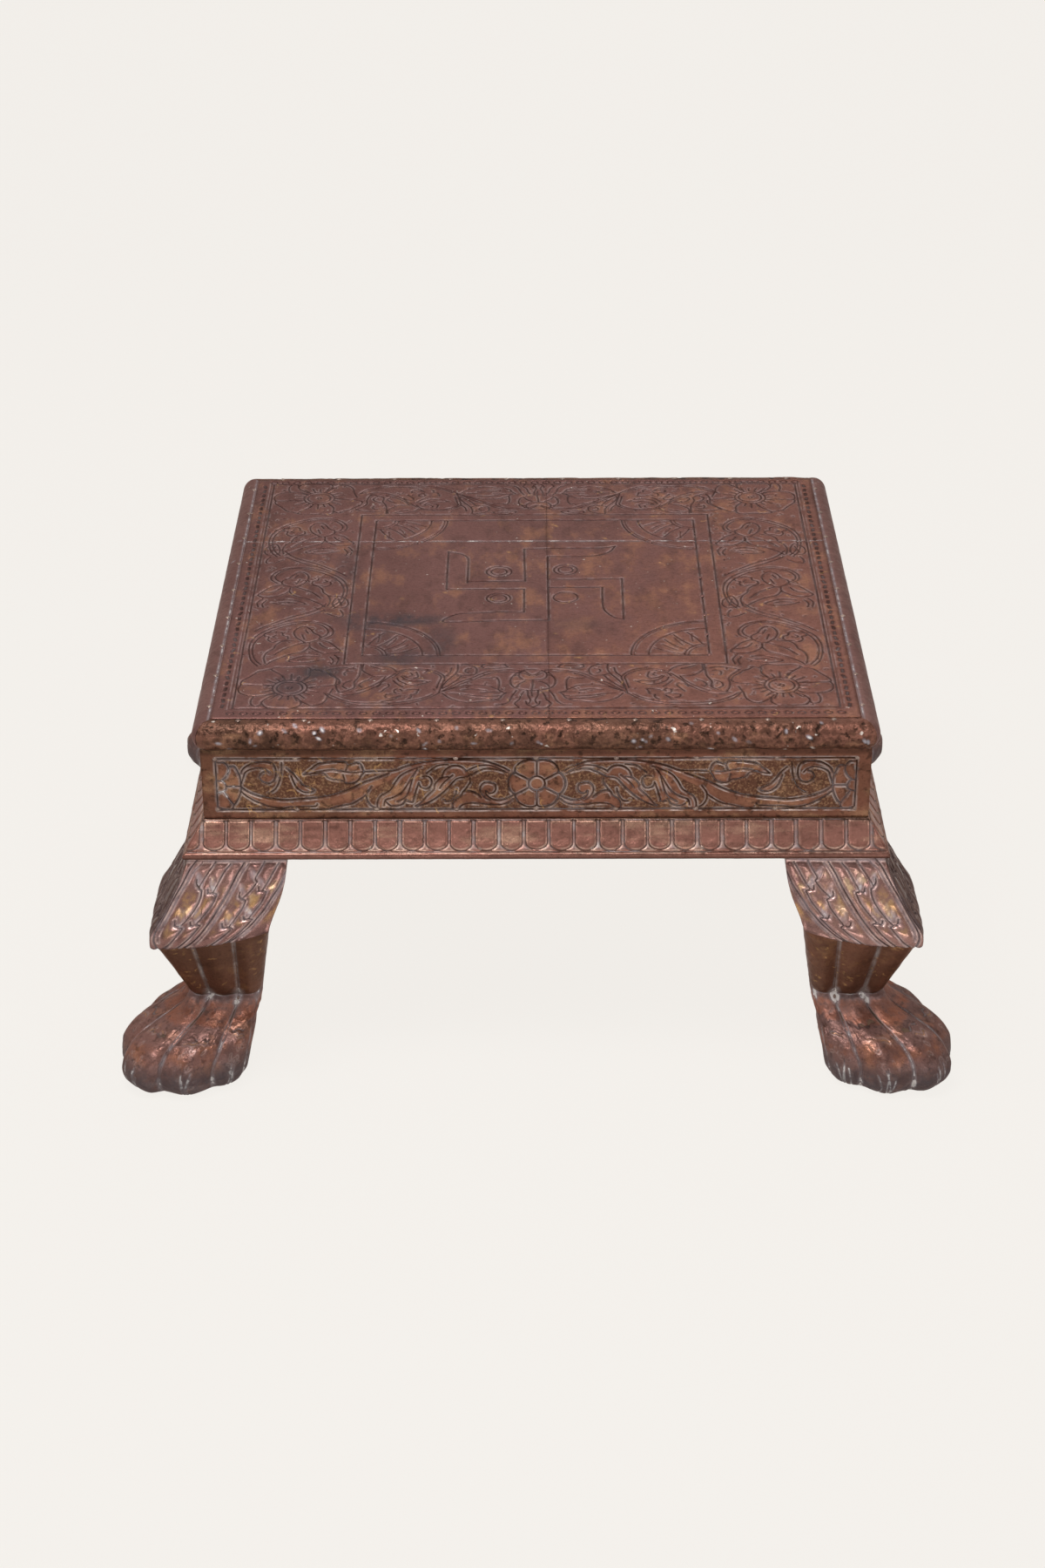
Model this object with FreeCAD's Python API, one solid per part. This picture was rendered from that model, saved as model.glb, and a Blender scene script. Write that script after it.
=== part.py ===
import FreeCAD, Part
import math
import os

# A low puja table: a hardwood frame on four carved lion legs, clad all over in
# thin copper sheet that is held by small copper pins.
# Millimetres. X runs along the front, Y from the front to the back, Z up.
# The origin is on the floor under the middle of the table.

# Overall sizes, over the copper
table_width = 460.0
table_depth = 436.0
table_height = 262.0

# Copper sheet, and the clearances of the whole table
sheet = 0.6
bend_gap = 0.15
slip = 0.1
cut_over = 6.0

# Top board: half-round edges, planks laid along X, dowelled to the frame
board_thickness = 21.0
plank_count = 3
board_dowel_radius = 4.0
board_dowel_depth = 24.0
board_dowel_place_share = 0.28

# Copper of the top: four flat sheets inside a bent strip along each edge
nose_lap = 13.0
seam_from_middle = 9.0
seam_from_back = 119.4

# Frieze under the top
frieze_setback_side = 5.1
frieze_setback_front = 12.8
frieze_height = 55.0

# Rails behind the frieze, tenoned into the leg posts and pegged
rail_thickness = 20.0
tenon_thickness = 9.0
tenon_length = 25.0
tenon_shoulder = 10.0
peg_radius = 3.0
peg_length = 27.0
peg_place_share = 0.5
peg_height_shares = (0.3, 0.72)

# Flared moulding under the frieze, with a bead along its lower edge
moulding_height = 23.0
moulding_flare_side = 14.5
moulding_flare_front = 17.0
moulding_step = 1.2
moulding_overhang = 3.2
moulding_belly_share = (0.52, 0.5)
moulding_bead_top_shares = (0.9, 0.2)
moulding_bead_out_shares = (1.0, 0.1)

# Knee: a square block that flares outwards, with a curved lower edge
knee_width = 67.0
knee_low_share = 0.6564
knee_edge_rise = 12.0
knee_flare = 28.0
knee_inner_slant = 15.5
knee_belly = 1.5
knee_level_shares = ((0.0, 0.0, 0.0, 0.2), (0.24, 0.15, 0.08, 0.5), (0.48, 0.42, 0.34, 1.0),
                     (0.7, 0.7, 0.7, 0.8), (0.86, 0.91, 0.88, 0.6), (1.0, 0.9, 1.0, 0.6))

# Shin: from the knee down to the ankle, fluted on its outer faces
shin_top_out = 28.0
shin_top_in = 53.0

# Paw: five toes round a heel, from the ankle to the floor
ankle_height_share = 0.3436
ankle_out = 5.0
ankle_in = 44.5
paw_out = 53.0
paw_in = 29.5
sole_edge = 0.8
paw_level_shares = ((1.0, 0.0, 0.0, 0.0), (0.87, 0.1, 0.1, 0.35), (0.71, 0.5, 0.25, 0.7),
                    (0.54, 0.85, 0.42, 0.95), (0.31, 1.0, 0.62, 1.0), (0.1, 0.94, 0.78, 1.0),
                    (0.0, 0.81, 1.0, 1.0))

# Half outlines of the leg, as shares of the half width, from the outer corner
# round to the inner corner. The other half is the same across the diagonal.
shin_outline_shares = ((0.98, 0.98), (0.7, 1.0), (0.33, 0.93), (-0.03, 1.01), (-0.42, 0.93),
                       (-0.72, 0.98), (-0.95, 0.86), (-1.0, 0.3), (-1.0, -0.4), (-0.93, -0.93))
ankle_outline_shares = ((0.86, 0.86), (0.65, 0.96), (0.42, 0.89), (0.05, 1.0), (-0.38, 0.89),
                        (-0.66, 0.93), (-0.92, 0.74), (-1.0, 0.25), (-0.99, -0.35), (-0.87, -0.87))
paw_outline_shares = ((0.77, 0.77), (0.57, 0.91), (0.34, 0.89), (-0.06, 1.0), (-0.49, 0.77),
                      (-0.75, 0.67), (-0.96, 0.38), (-1.0, 0.0), (-0.97, -0.45), (-0.84, -0.84))

# Copper pins: a low domed head on a short shank
pin_head_radius = 1.7
pin_head_rise = 0.7
pin_shank_radius = 0.7
pin_length = 9.0
pin_gap = 0.05
seat_gap = 0.1
top_pin_count_along_x = 15
top_pin_count_along_y = 8
frame_line_x = 121.0
nose_pin_spacing = 45.0
frieze_pin_spacing = 52.0
frieze_pin_inset = 9.0
frieze_pin_low = 7.0
moulding_pin_count = 6
moulding_pin_share = 0.32
knee_pin_shares = (0.22, 0.52, 0.8)
knee_pin_tilt = 22.0
knee_pin_rise = 2.6
ankle_pin_drop = 3.0
ankle_pin_turns = (24.0, 68.0, -24.0)
toe_pin_turns = (8.0, 50.0, -52.0)
toe_pin_share = 0.42

# Places worked out from the sizes above
half_x = table_width / 2
half_y = table_depth / 2
face_x = half_x - frieze_setback_side
face_y = half_y - frieze_setback_front
wood_x = face_x - sheet
wood_y = face_y - sheet
board_low = table_height - board_thickness
wood_board_low = board_low + sheet
wood_board_high = table_height - sheet
frieze_low = board_low - frieze_height
moulding_low = frieze_low - moulding_height
knee_low = knee_low_share * moulding_low
ankle_height = ankle_height_share * moulding_low
knee_x = face_x + moulding_flare_side - moulding_overhang
knee_y = face_y + moulding_flare_front - moulding_overhang
leg_inset = sheet + bend_gap
post_in_x = knee_x - knee_width + leg_inset
post_in_y = knee_y - knee_width + leg_inset
knee_reach = (knee_width - knee_inner_slant + knee_flare) / math.sqrt(2)
knee_arch_radius = (knee_reach ** 2 + knee_edge_rise ** 2) / (2 * knee_edge_rise)
pin_hole_radius = pin_shank_radius + pin_gap
corners = {"front_left": (-1, -1), "front_right": (1, -1), "back_left": (-1, 1), "back_right": (1, 1)}
sides = {"front": (0, -1), "back": (0, 1), "left": (-1, 0), "right": (1, 0)}
side_turns = {"front": 0, "back": 180, "left": 270, "right": 90}


def vector(x, y, z):
    return FreeCAD.Vector(x, y, z)


def block(low, high):
    size = [b - a for a, b in zip(low, high)]
    return Part.makeBox(size[0], size[1], size[2], vector(*low))


def turned(shape, degrees):
    """The shape turned about the upright line through the middle of the table."""
    copy = shape.copy()
    copy.rotate(vector(0, 0, 0), vector(0, 0, 1), degrees)
    return copy


def mirrored(shape, sign_x, sign_y):
    """The shape made for the back right corner, carried to another corner."""
    if sign_x < 0:
        shape = shape.mirror(vector(0, 0, 0), vector(1, 0, 0))
    if sign_y < 0:
        shape = shape.mirror(vector(0, 0, 0), vector(0, 1, 0))
    return shape


def with_holes(shape, tools):
    """The shape with every tool of the list cut out of it."""
    near = [tool for tool in tools if tool.BoundBox.intersect(shape.BoundBox)]
    if not near:
        return shape
    return shape.cut(Part.makeCompound(near))


def save(name, shape):
    if shape.ShapeType == "Compound" and len(shape.Solids) == 1:
        shape = shape.Solids[0]
    shape.exportStep(os.path.join("parts", name + ".step"))
    print(f"{name}: {len(shape.Solids)} solid(s), {shape.Volume:.0f} mm3, valid {shape.isValid()}")


# Pins

def pin():
    """One pin along Z: the underside of its head is at zero, its shank below."""
    points = (vector(0, 0, -pin_length), vector(pin_shank_radius, 0, -pin_length),
              vector(pin_shank_radius, 0, 0), vector(pin_head_radius, 0, 0))
    edges = [Part.makeLine(a, b) for a, b in zip(points, points[1:])]
    crown = vector(0, 0, pin_head_rise)
    ball = (pin_head_radius ** 2 + pin_head_rise ** 2) / (2 * pin_head_rise)
    half_turn = math.asin(pin_head_radius / ball) / 2
    shoulder = vector(ball * math.sin(half_turn), 0, pin_head_rise - ball + ball * math.cos(half_turn))
    edges.append(Part.Arc(points[-1], shoulder, crown).toShape())
    edges.append(Part.makeLine(crown, points[0]))
    return Part.Face(Part.Wire(edges)).revolve(vector(0, 0, 0), vector(0, 0, 1), 360)


def pointed(shape, place, direction):
    """A shape that was made along Z, set at a place and turned to a direction."""
    copy = shape.copy()
    copy.Placement = FreeCAD.Placement(place, FreeCAD.Rotation(vector(0, 0, 1), direction))
    return copy


def pins_at(seats):
    """The pins and the holes for a list of seats, each a place and a direction."""
    pins = [pointed(pin(), place + direction * seat_gap, direction) for place, direction in seats]
    bore = Part.makeCylinder(pin_hole_radius, pin_length + pin_gap + cut_over,
                             vector(0, 0, -pin_length - pin_gap))
    holes = [pointed(bore, place, direction) for place, direction in seats]
    return pins, holes


def spaced(low, high, spacing):
    """Even places from low to high, both included, about a spacing apart."""
    count = max(2, round((high - low) / spacing) + 1)
    return [low + (high - low) * i / (count - 1) for i in range(count)]


# Top board and its copper

def slab(inset):
    """A board with half-round edges and ball corners, inset from the copper's outside."""
    radius = board_thickness / 2 - inset
    x = half_x - inset - radius
    y = half_y - inset - radius
    middle = board_low + board_thickness / 2
    shape = block((-x, -y, middle - radius), (x, y, middle + radius))
    tools = []
    for sign in (-1, 1):
        tools.append(Part.makeCylinder(radius, 2 * x, vector(-x, sign * y, middle), vector(1, 0, 0)))
        tools.append(Part.makeCylinder(radius, 2 * y, vector(sign * x, -y, middle), vector(0, 1, 0)))
        for other in (-1, 1):
            tools.append(Part.makeSphere(radius, vector(sign * x, other * y, middle)))
    return shape.fuse(tools).removeSplitter()


def plank(index):
    depth = 2 * half_y / plank_count
    low = -half_y + index * depth + (slip / 2 if index else -cut_over)
    high = -half_y + (index + 1) * depth - (slip / 2 if index < plank_count - 1 else -cut_over)
    return slab(sheet).common(block((-half_x, low, board_low), (half_x, high, table_height)))


def board_dowel_places():
    """Two dowels at each end of each plank, down the middle of the side rails."""
    depth = 2 * half_y / plank_count
    x = wood_x - rail_thickness / 2
    places = []
    for index in range(plank_count):
        middle = -half_y + (index + 0.5) * depth
        for shift in (-board_dowel_place_share, board_dowel_place_share):
            places += [(-x, middle + shift * depth), (x, middle + shift * depth)]
    return places


def board_dowels(radius, over):
    bottom = wood_board_high - board_dowel_depth - over
    length = board_dowel_depth + 2 * over
    return [Part.makeCylinder(radius, length, vector(x, y, bottom)) for x, y in board_dowel_places()]


def mitre_wedge(side, reach_x, reach_y, low, high, slope_x, slope_y):
    """A prism that keeps what belongs to one side of a mitred frame.

    Its two mitres leave the corner at reach_x, reach_y in the direction of
    slope_x, slope_y, inwards and outwards."""
    sign_x, sign_y = sides[side]
    inner = -min(reach_x / slope_x, reach_y / slope_y) / 2
    outer = (half_x + half_y) / 2
    points = []
    for hand, along in ((-1, inner), (1, inner), (1, outer), (-1, outer)):
        x = reach_x + slope_x * along
        y = reach_y + slope_y * along
        if sign_y:
            points.append(vector(hand * x, sign_y * y, low))
        else:
            points.append(vector(sign_x * x, hand * y, low))
    points.append(points[0])
    return Part.Face(Part.makePolygon(points)).extrude(vector(0, 0, high - low))


def nose_strip(side):
    """The bent strip along one edge of the top, from the top face round to the frieze."""
    middle = board_low + board_thickness / 2
    shell = slab(0).cut(slab(sheet))
    top_field = block((-half_x + nose_lap, -half_y + nose_lap, middle),
                      (half_x - nose_lap, half_y - nose_lap, table_height + cut_over))
    under_x = face_x + slip
    under_y = face_y + slip
    under_field = block((-under_x, -under_y, board_low - cut_over), (under_x, under_y, middle))
    band = shell.cut(Part.makeCompound([top_field, under_field]))
    wedge = mitre_wedge(side, half_x - nose_lap, half_y - nose_lap, board_low - cut_over,
                        table_height + cut_over, 1, 1)
    return band.common(wedge)


def top_sheet(corner):
    """One of the four flat sheets, which meet at a seam each way."""
    sign_x, sign_y = corners[corner]
    edge_x = half_x - nose_lap
    edge_y = half_y - nose_lap
    seam_x = seam_from_middle
    seam_y = half_y - nose_lap - seam_from_back
    low_x, high_x = (-edge_x, seam_x) if sign_x < 0 else (seam_x, edge_x)
    low_y, high_y = (-edge_y, seam_y) if sign_y < 0 else (seam_y, edge_y)
    return block((low_x, low_y, table_height - sheet), (high_x, high_y, table_height))


def top_pin_seats():
    """Pins along the back seam between the side rails, and along the right inner frame line."""
    up = vector(0, 0, 1)
    seam_y = half_y - nose_lap - seam_from_back - pin_head_radius - seat_gap
    edge_x = wood_x - rail_thickness - pin_head_radius
    step = 2 * edge_x / (top_pin_count_along_x - 1)
    seats = [(vector(-edge_x + i * step, seam_y, table_height), up) for i in range(top_pin_count_along_x)]
    step = (seam_y + half_y - nose_lap) / (top_pin_count_along_y + 1)
    low_y = -half_y + nose_lap
    seats += [(vector(frame_line_x, low_y + i * step, table_height), up)
              for i in range(1, top_pin_count_along_y)]
    return seats


def nose_pin_seats():
    """Pins along the crest of each edge, just outside the lap."""
    up = vector(0, 0, 1)
    x = half_x - board_thickness / 2
    y = half_y - board_thickness / 2
    reach_x = x - board_thickness
    reach_y = y - board_thickness
    seats = []
    for place in spaced(-reach_x, reach_x, nose_pin_spacing):
        seats += [(vector(place, sign * y, table_height), up) for sign in (-1, 1)]
    for place in spaced(-reach_y, reach_y, nose_pin_spacing):
        seats += [(vector(sign * x, place, table_height), up) for sign in (-1, 1)]
    return seats


# Frame: rails, mouldings and the copper on them

def side_frame(side):
    """A side's length between posts, its wooden face and the turn that brings it there."""
    if sides[side][1]:
        return post_in_x, wood_y, side_turns[side]
    return post_in_y, wood_x, side_turns[side]


def tenon_box(reach, face, hand, clear):
    """The tenon, or its mortise, at one end of the front rail."""
    middle = -face + rail_thickness / 2
    low_z = moulding_low + tenon_shoulder - clear
    high_z = wood_board_low - tenon_shoulder + clear
    ends = sorted((hand * (reach - cut_over), hand * (reach + tenon_length + clear)))
    half = tenon_thickness / 2 + clear
    return block((ends[0], middle - half, low_z), (ends[1], middle + half, high_z))


def rail(side):
    reach, face, turn = side_frame(side)
    body = block((-reach, -face, moulding_low), (reach, -face + rail_thickness, wood_board_low))
    body = body.fuse([tenon_box(reach, face, hand, 0) for hand in (-1, 1)]).removeSplitter()
    return turned(body, turn)


def mortises():
    tools = []
    for side in sides:
        reach, face, turn = side_frame(side)
        tools += [turned(tenon_box(reach, face, hand, slip), turn) for hand in (-1, 1)]
    return tools


def rail_pegs(radius, over):
    """Two pegs through each tenon, driven in from the outer face of the post."""
    height = wood_board_low - moulding_low
    pegs = []
    for side in sides:
        reach, face, turn = side_frame(side)
        x = reach + peg_place_share * tenon_length
        for hand in (-1, 1):
            for share in peg_height_shares:
                z = moulding_low + share * height
                start = vector(hand * x, -face - over, z)
                peg = Part.makeCylinder(radius, peg_length + 2 * over, start, vector(0, 1, 0))
                pegs.append(turned(peg, turn))
    return pegs


def moulding_section(side, inset):
    """The section of the moulding, at the left end of its side, as a closed wire."""
    flare = moulding_flare_front if sides[side][1] else moulding_flare_side
    face = face_y if sides[side][1] else face_x
    wood = face - sheet
    span = flare - moulding_step

    def point(out_share, height_share):
        out = face + moulding_step + out_share * span - inset
        return vector(0, -out, moulding_low + height_share * moulding_height)

    top = point(0, 1)
    bead_top = point(*moulding_bead_top_shares)
    bead_low = point(moulding_bead_top_shares[0], 0)
    back_low = vector(0, -wood, moulding_low)
    back_top = vector(0, -wood, frieze_low)
    edges = [Part.makeLine(back_low, back_top), Part.makeLine(back_top, top),
             Part.Arc(top, point(*moulding_belly_share), bead_top).toShape(),
             Part.Arc(bead_top, point(*moulding_bead_out_shares), bead_low).toShape(),
             Part.makeLine(bead_low, back_low)]
    return Part.Wire(edges)


def moulding_bar(side, inset):
    """A length of the moulding on one side, cut to its two mitres."""
    along = half_x + half_y
    bar = Part.Face(moulding_section(side, inset)).extrude(vector(2 * along, 0, 0))
    bar.translate(vector(-along, 0, 0))
    bar = turned(bar, side_turns[side])
    wedge = mitre_wedge(side, wood_x, wood_y, moulding_low - cut_over, frieze_low + cut_over,
                        moulding_flare_side, moulding_flare_front)
    return bar.common(wedge)


def base_moulding(side):
    return moulding_bar(side, leg_inset)


def petal_strip(side):
    """The copper on the moulding, from the frieze down over the bead."""
    return moulding_bar(side, 0).cut(moulding_bar(side, sheet))


def moulding_pin_seats():
    """Pins on the slope of each moulding, low down and pointing into the rail."""
    seats = []
    for side in sides:
        turn = side_turns[side]
        reach = face_x if sides[side][1] else face_y
        tool = moulding_bar(side, 0)
        for i in range(moulding_pin_count):
            x = -reach + 2 * reach * (i + 0.5) / moulding_pin_count
            start = vector(x, -(min(wood_x, wood_y) - rail_thickness),
                           moulding_low + moulding_pin_share * moulding_height)
            start = FreeCAD.Rotation(vector(0, 0, 1), turn).multVec(start)
            out = FreeCAD.Rotation(vector(0, 0, 1), turn).multVec(vector(0, -1, 0))
            seats.append(seat_on(tool, start, out))
    return seats


def frieze_panel(side):
    """The sheet on one side. The front and back sheets cover the ends of the others."""
    if sides[side][1]:
        reach = face_x
        face = face_y
    else:
        reach = face_y - sheet - slip
        face = face_x
    panel = block((-reach, -face, frieze_low), (reach, -face + sheet, wood_board_low - slip))
    return turned(panel, side_turns[side])


def frieze_pin_seats():
    """Two rows of pins on each panel, one near its top and one near its foot."""
    seats = []
    for side in sides:
        reach, face = (face_x, face_y) if sides[side][1] else (face_y - sheet, face_x)
        turn = FreeCAD.Rotation(vector(0, 0, 1), side_turns[side])
        out = turn.multVec(vector(0, -1, 0))
        end = reach - frieze_pin_inset
        for place in spaced(-end, end, frieze_pin_spacing):
            for height in (board_low - frieze_pin_inset, frieze_low + frieze_pin_low):
                seats.append((turn.multVec(vector(place, -face, height)), out))
    return seats


# Legs: all made at the back right corner

def mixed(outline, other, share):
    """An outline part of the way between two outlines of as many points."""
    return [(a[0] + (b[0] - a[0]) * share, a[1] + (b[1] - a[1]) * share) for a, b in zip(outline, other)]


def leg_wire(outline, out, inward, height, inset):
    """A closed section of the leg. It reaches out past the knee's corner and inward of it."""
    middle = (out - inward) / 2
    half = (out + inward) / 2 - inset
    whole = list(outline) + [(b, a) for a, b in reversed(outline[1:-1])]
    points = [vector(knee_x + middle + half * a, knee_y + middle + half * b, height) for a, b in whole]
    curve = Part.BSplineCurve()
    curve.interpolate(points, PeriodicFlag=True)
    return Part.Wire([curve.toShape()])


def shin_solid(inset):
    top = knee_low + knee_edge_rise + cut_over / 2
    wires = [leg_wire(ankle_outline_shares, ankle_out, ankle_in, ankle_height, inset),
             leg_wire(shin_outline_shares, shin_top_out, shin_top_in, top, inset)]
    return Part.makeLoft(wires, True, True)


def paw_solid(inset):
    wires = []
    for height_share, out_share, in_share, toe_share in paw_level_shares:
        outline = mixed(ankle_outline_shares, paw_outline_shares, toe_share)
        out = ankle_out + (paw_out - ankle_out) * out_share
        inward = ankle_in + (paw_in - ankle_in) * in_share
        wires.append(leg_wire(outline, out, inward, ankle_height * height_share, inset))
    return Part.makeLoft(list(reversed(wires)), True, False)


def knee_wire(height, out, slant, belly, inset):
    """A square section of the knee with its two outer faces bowed."""
    a = out - inset
    b = -knee_width + slant + inset
    m = (a + b) / 2

    def point(u, v):
        return vector(knee_x + u, knee_y + v, height)

    bow = a + belly
    edges = [Part.Arc(point(a, b), point(bow, m), point(a, a)).toShape(),
             Part.Arc(point(a, a), point(m, bow), point(b, a)).toShape(),
             Part.makeLine(point(b, a), point(b, b)),
             Part.makeLine(point(b, b), point(a, b))]
    return Part.Wire(edges)


def knee_arch():
    """A round bar along the diagonal, whose underside is the curved lower edge of the knee."""
    bar = Part.makeCylinder(knee_arch_radius, 2 * knee_arch_radius, vector(-knee_arch_radius, 0, 0),
                            vector(1, 0, 0))
    middle = (knee_flare - knee_width) / 2
    bar = turned(bar, 45)
    bar.translate(vector(knee_x + middle, knee_y + middle, knee_low + knee_arch_radius))
    return bar


def knee_edge_height(across):
    """Height of the knee's lower edge at a place across the diagonal."""
    return knee_low + knee_arch_radius - math.sqrt(knee_arch_radius ** 2 - across ** 2)


def knee_solid(inset):
    span = moulding_low - knee_low
    wires = []
    for drop, out, slant, belly in knee_level_shares:
        height = moulding_low - drop * span
        wires.append(knee_wire(height, out * knee_flare, slant * knee_inner_slant, belly * knee_belly, inset))
    return Part.makeLoft(list(reversed(wires)), True, False).common(knee_arch())


def wooden_leg():
    """Post, knee, shin and paw, carved from one piece of wood."""
    post = block((post_in_x, post_in_y, moulding_low), (wood_x, wood_y, wood_board_low))
    leg = knee_solid(leg_inset).fuse(shin_solid(leg_inset).cut(knee_arch()))
    return leg.fuse([paw_solid(leg_inset), post]).removeSplitter()


def knee_cover():
    return knee_solid(0).cut(knee_solid(sheet))


def shin_sleeve():
    return shin_solid(0).cut(shin_solid(sheet)).cut(knee_arch())


def paw_cover():
    reach = knee_width + paw_out
    shell = paw_solid(0).cut(paw_solid(sheet))
    floor = block((knee_x - reach, knee_y - reach, -cut_over), (knee_x + reach, knee_y + reach, sole_edge))
    return shell.cut(floor)


def seat_on(solid, start, direction):
    """Where a line from a point inside leaves the solid, and the way that its skin faces there."""
    far = start + direction * (half_x + half_y)
    cut = Part.makeLine(start, far).common(solid)
    place = max((vertex.Point for vertex in cut.Vertexes), key=lambda point: point.distanceToPoint(start))
    touch = Part.Vertex(place)
    face = min(solid.Faces, key=lambda one: one.distToShape(touch)[0])
    normal = face.normalAt(*face.Surface.parameter(place))
    return place, normal


def knee_pin_seats():
    """Pins along the lower edge of the knee, on its two outer faces."""
    solid = knee_solid(0)
    tilt = math.radians(knee_pin_tilt)
    width = knee_width - knee_inner_slant + knee_flare
    seats = []
    for share in knee_pin_shares:
        across = knee_flare - share * width
        height = knee_edge_height(share * width / math.sqrt(2)) + knee_pin_rise
        inside = -knee_width / 2
        drop = math.tan(tilt) * (knee_flare - inside)
        for place, out in (((across, inside), vector(0, math.cos(tilt), math.sin(tilt))),
                           ((inside, across), vector(math.cos(tilt), 0, math.sin(tilt)))):
            start = vector(knee_x + place[0], knee_y + place[1], height - drop)
            seats.append(seat_on(solid, start, out))
    return seats


def leg_middle(out, inward, height):
    middle = (out - inward) / 2
    return vector(knee_x + middle, knee_y + middle, height)


def paw_pin_seats(turns, height, out, inward):
    """Pins that point level into the paw, each turned from the outward diagonal."""
    solid = paw_solid(0)
    start = leg_middle(out, inward, height)
    seats = []
    for turn in turns:
        angle = math.radians(45 + turn)
        direction = vector(math.cos(angle), math.sin(angle), 0)
        seats.append(seat_on(solid, start, direction))
    return seats


os.makedirs("parts", exist_ok=True)

# Seats of all the pins, and the holes that they need
leg_pins = {
    "knee_pins": pins_at(knee_pin_seats()),
    "ankle_pins": pins_at(paw_pin_seats(ankle_pin_turns, ankle_height - ankle_pin_drop, ankle_out, ankle_in)),
    "toe_pins": pins_at(paw_pin_seats(toe_pin_turns, ankle_height * toe_pin_share, paw_out, paw_in)),
}
table_pins = {
    "top_pins": pins_at(top_pin_seats()),
    "nose_pins": pins_at(nose_pin_seats()),
    "frieze_pins": pins_at(frieze_pin_seats()),
    "moulding_pins": pins_at(moulding_pin_seats()),
}
leg_holes = [hole for pins, holes in leg_pins.values() for hole in holes]
table_holes = [hole for pins, holes in table_pins.values() for hole in holes]
peg_holes = rail_pegs(peg_radius + pin_gap, pin_gap)
dowel_holes = board_dowels(board_dowel_radius + pin_gap, pin_gap)

# Top board and its copper
for number in range(plank_count):
    save(f"top_plank_{number + 1}", with_holes(plank(number), dowel_holes + table_holes))
for corner_name in corners:
    save(f"top_sheet_{corner_name}", with_holes(top_sheet(corner_name), table_holes))
for side_name in sides:
    save(f"nose_strip_{side_name}", with_holes(nose_strip(side_name), table_holes))

# Rails, mouldings and their copper
for side_name in sides:
    save(f"{side_name}_rail", with_holes(rail(side_name), peg_holes + dowel_holes + table_holes))
    save(f"base_moulding_{side_name}", with_holes(base_moulding(side_name), table_holes))
    save(f"frieze_panel_{side_name}", with_holes(frieze_panel(side_name), table_holes))
    save(f"petal_strip_{side_name}", with_holes(petal_strip(side_name), table_holes))
save("rail_pegs", Part.makeCompound(rail_pegs(peg_radius, 0)))
save("board_dowels", Part.makeCompound(board_dowels(board_dowel_radius, 0)))

# Legs and their copper
leg_wood = with_holes(wooden_leg(), leg_holes)
covers = {
    "knee_cover": with_holes(knee_cover(), leg_holes),
    "shin_sleeve": with_holes(shin_sleeve(), leg_holes),
    "paw_cover": with_holes(paw_cover(), leg_holes),
}
for corner_name, signs in corners.items():
    leg = mirrored(leg_wood, *signs)
    save(f"leg_{corner_name}", with_holes(leg, mortises() + peg_holes + dowel_holes + table_holes))
    for cover_name, cover in covers.items():
        save(f"{cover_name}_{corner_name}", mirrored(cover, *signs))

# Pins, each kind a group of separate solids
for pin_name, (pins, holes) in table_pins.items():
    save(pin_name, Part.makeCompound(pins))
for pin_name, (pins, holes) in leg_pins.items():
    copies = [mirrored(one, *signs) for signs in corners.values() for one in pins]
    save(pin_name, Part.makeCompound(copies))
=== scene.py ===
# %% [markdown]
# # A low puja table clad in chased copper
#
# The real table is plain hardwood under a skin of thin copper sheet. A smith lays each sheet on
# pitch, presses the outlines in from the front with a blunt chisel, lifts the leaves between them
# and pins the finished sheet to the wood. This file does the same with numbers: a height map
# stands for the sheet, tools press lines in and lift lobes out, and a mesh is laid through it.
#
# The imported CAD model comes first. It fixes every place and size, and its wooden pieces stay as
# they are. Each copper piece is built here again, in the same place, with its relief.

# %% The frame
import math

import bpy
import numpy as np
from mathutils import Matrix, Vector
from mathutils.geometry import delaunay_2d_cdt


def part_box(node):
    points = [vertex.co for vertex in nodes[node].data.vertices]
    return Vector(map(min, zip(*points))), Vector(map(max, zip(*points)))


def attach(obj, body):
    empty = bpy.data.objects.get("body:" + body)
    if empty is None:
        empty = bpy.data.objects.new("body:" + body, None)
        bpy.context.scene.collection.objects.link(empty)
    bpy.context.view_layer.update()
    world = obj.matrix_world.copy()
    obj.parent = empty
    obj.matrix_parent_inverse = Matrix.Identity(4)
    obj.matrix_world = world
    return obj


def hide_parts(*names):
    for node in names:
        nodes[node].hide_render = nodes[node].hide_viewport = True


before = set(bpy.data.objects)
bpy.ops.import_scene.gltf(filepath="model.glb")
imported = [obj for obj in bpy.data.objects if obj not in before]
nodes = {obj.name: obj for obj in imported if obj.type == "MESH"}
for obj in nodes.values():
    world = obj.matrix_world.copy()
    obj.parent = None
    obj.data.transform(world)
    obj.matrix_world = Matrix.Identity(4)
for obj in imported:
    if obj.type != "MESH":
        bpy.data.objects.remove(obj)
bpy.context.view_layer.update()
MM = 0.001
print(len(nodes), "CAD nodes")

# %% [markdown]
# The sizes of the table, in millimetres. They are the same as in the CAD source, and the places
# worked out from them follow the same sums. X runs along the front, Y to the back, Z up.

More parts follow.
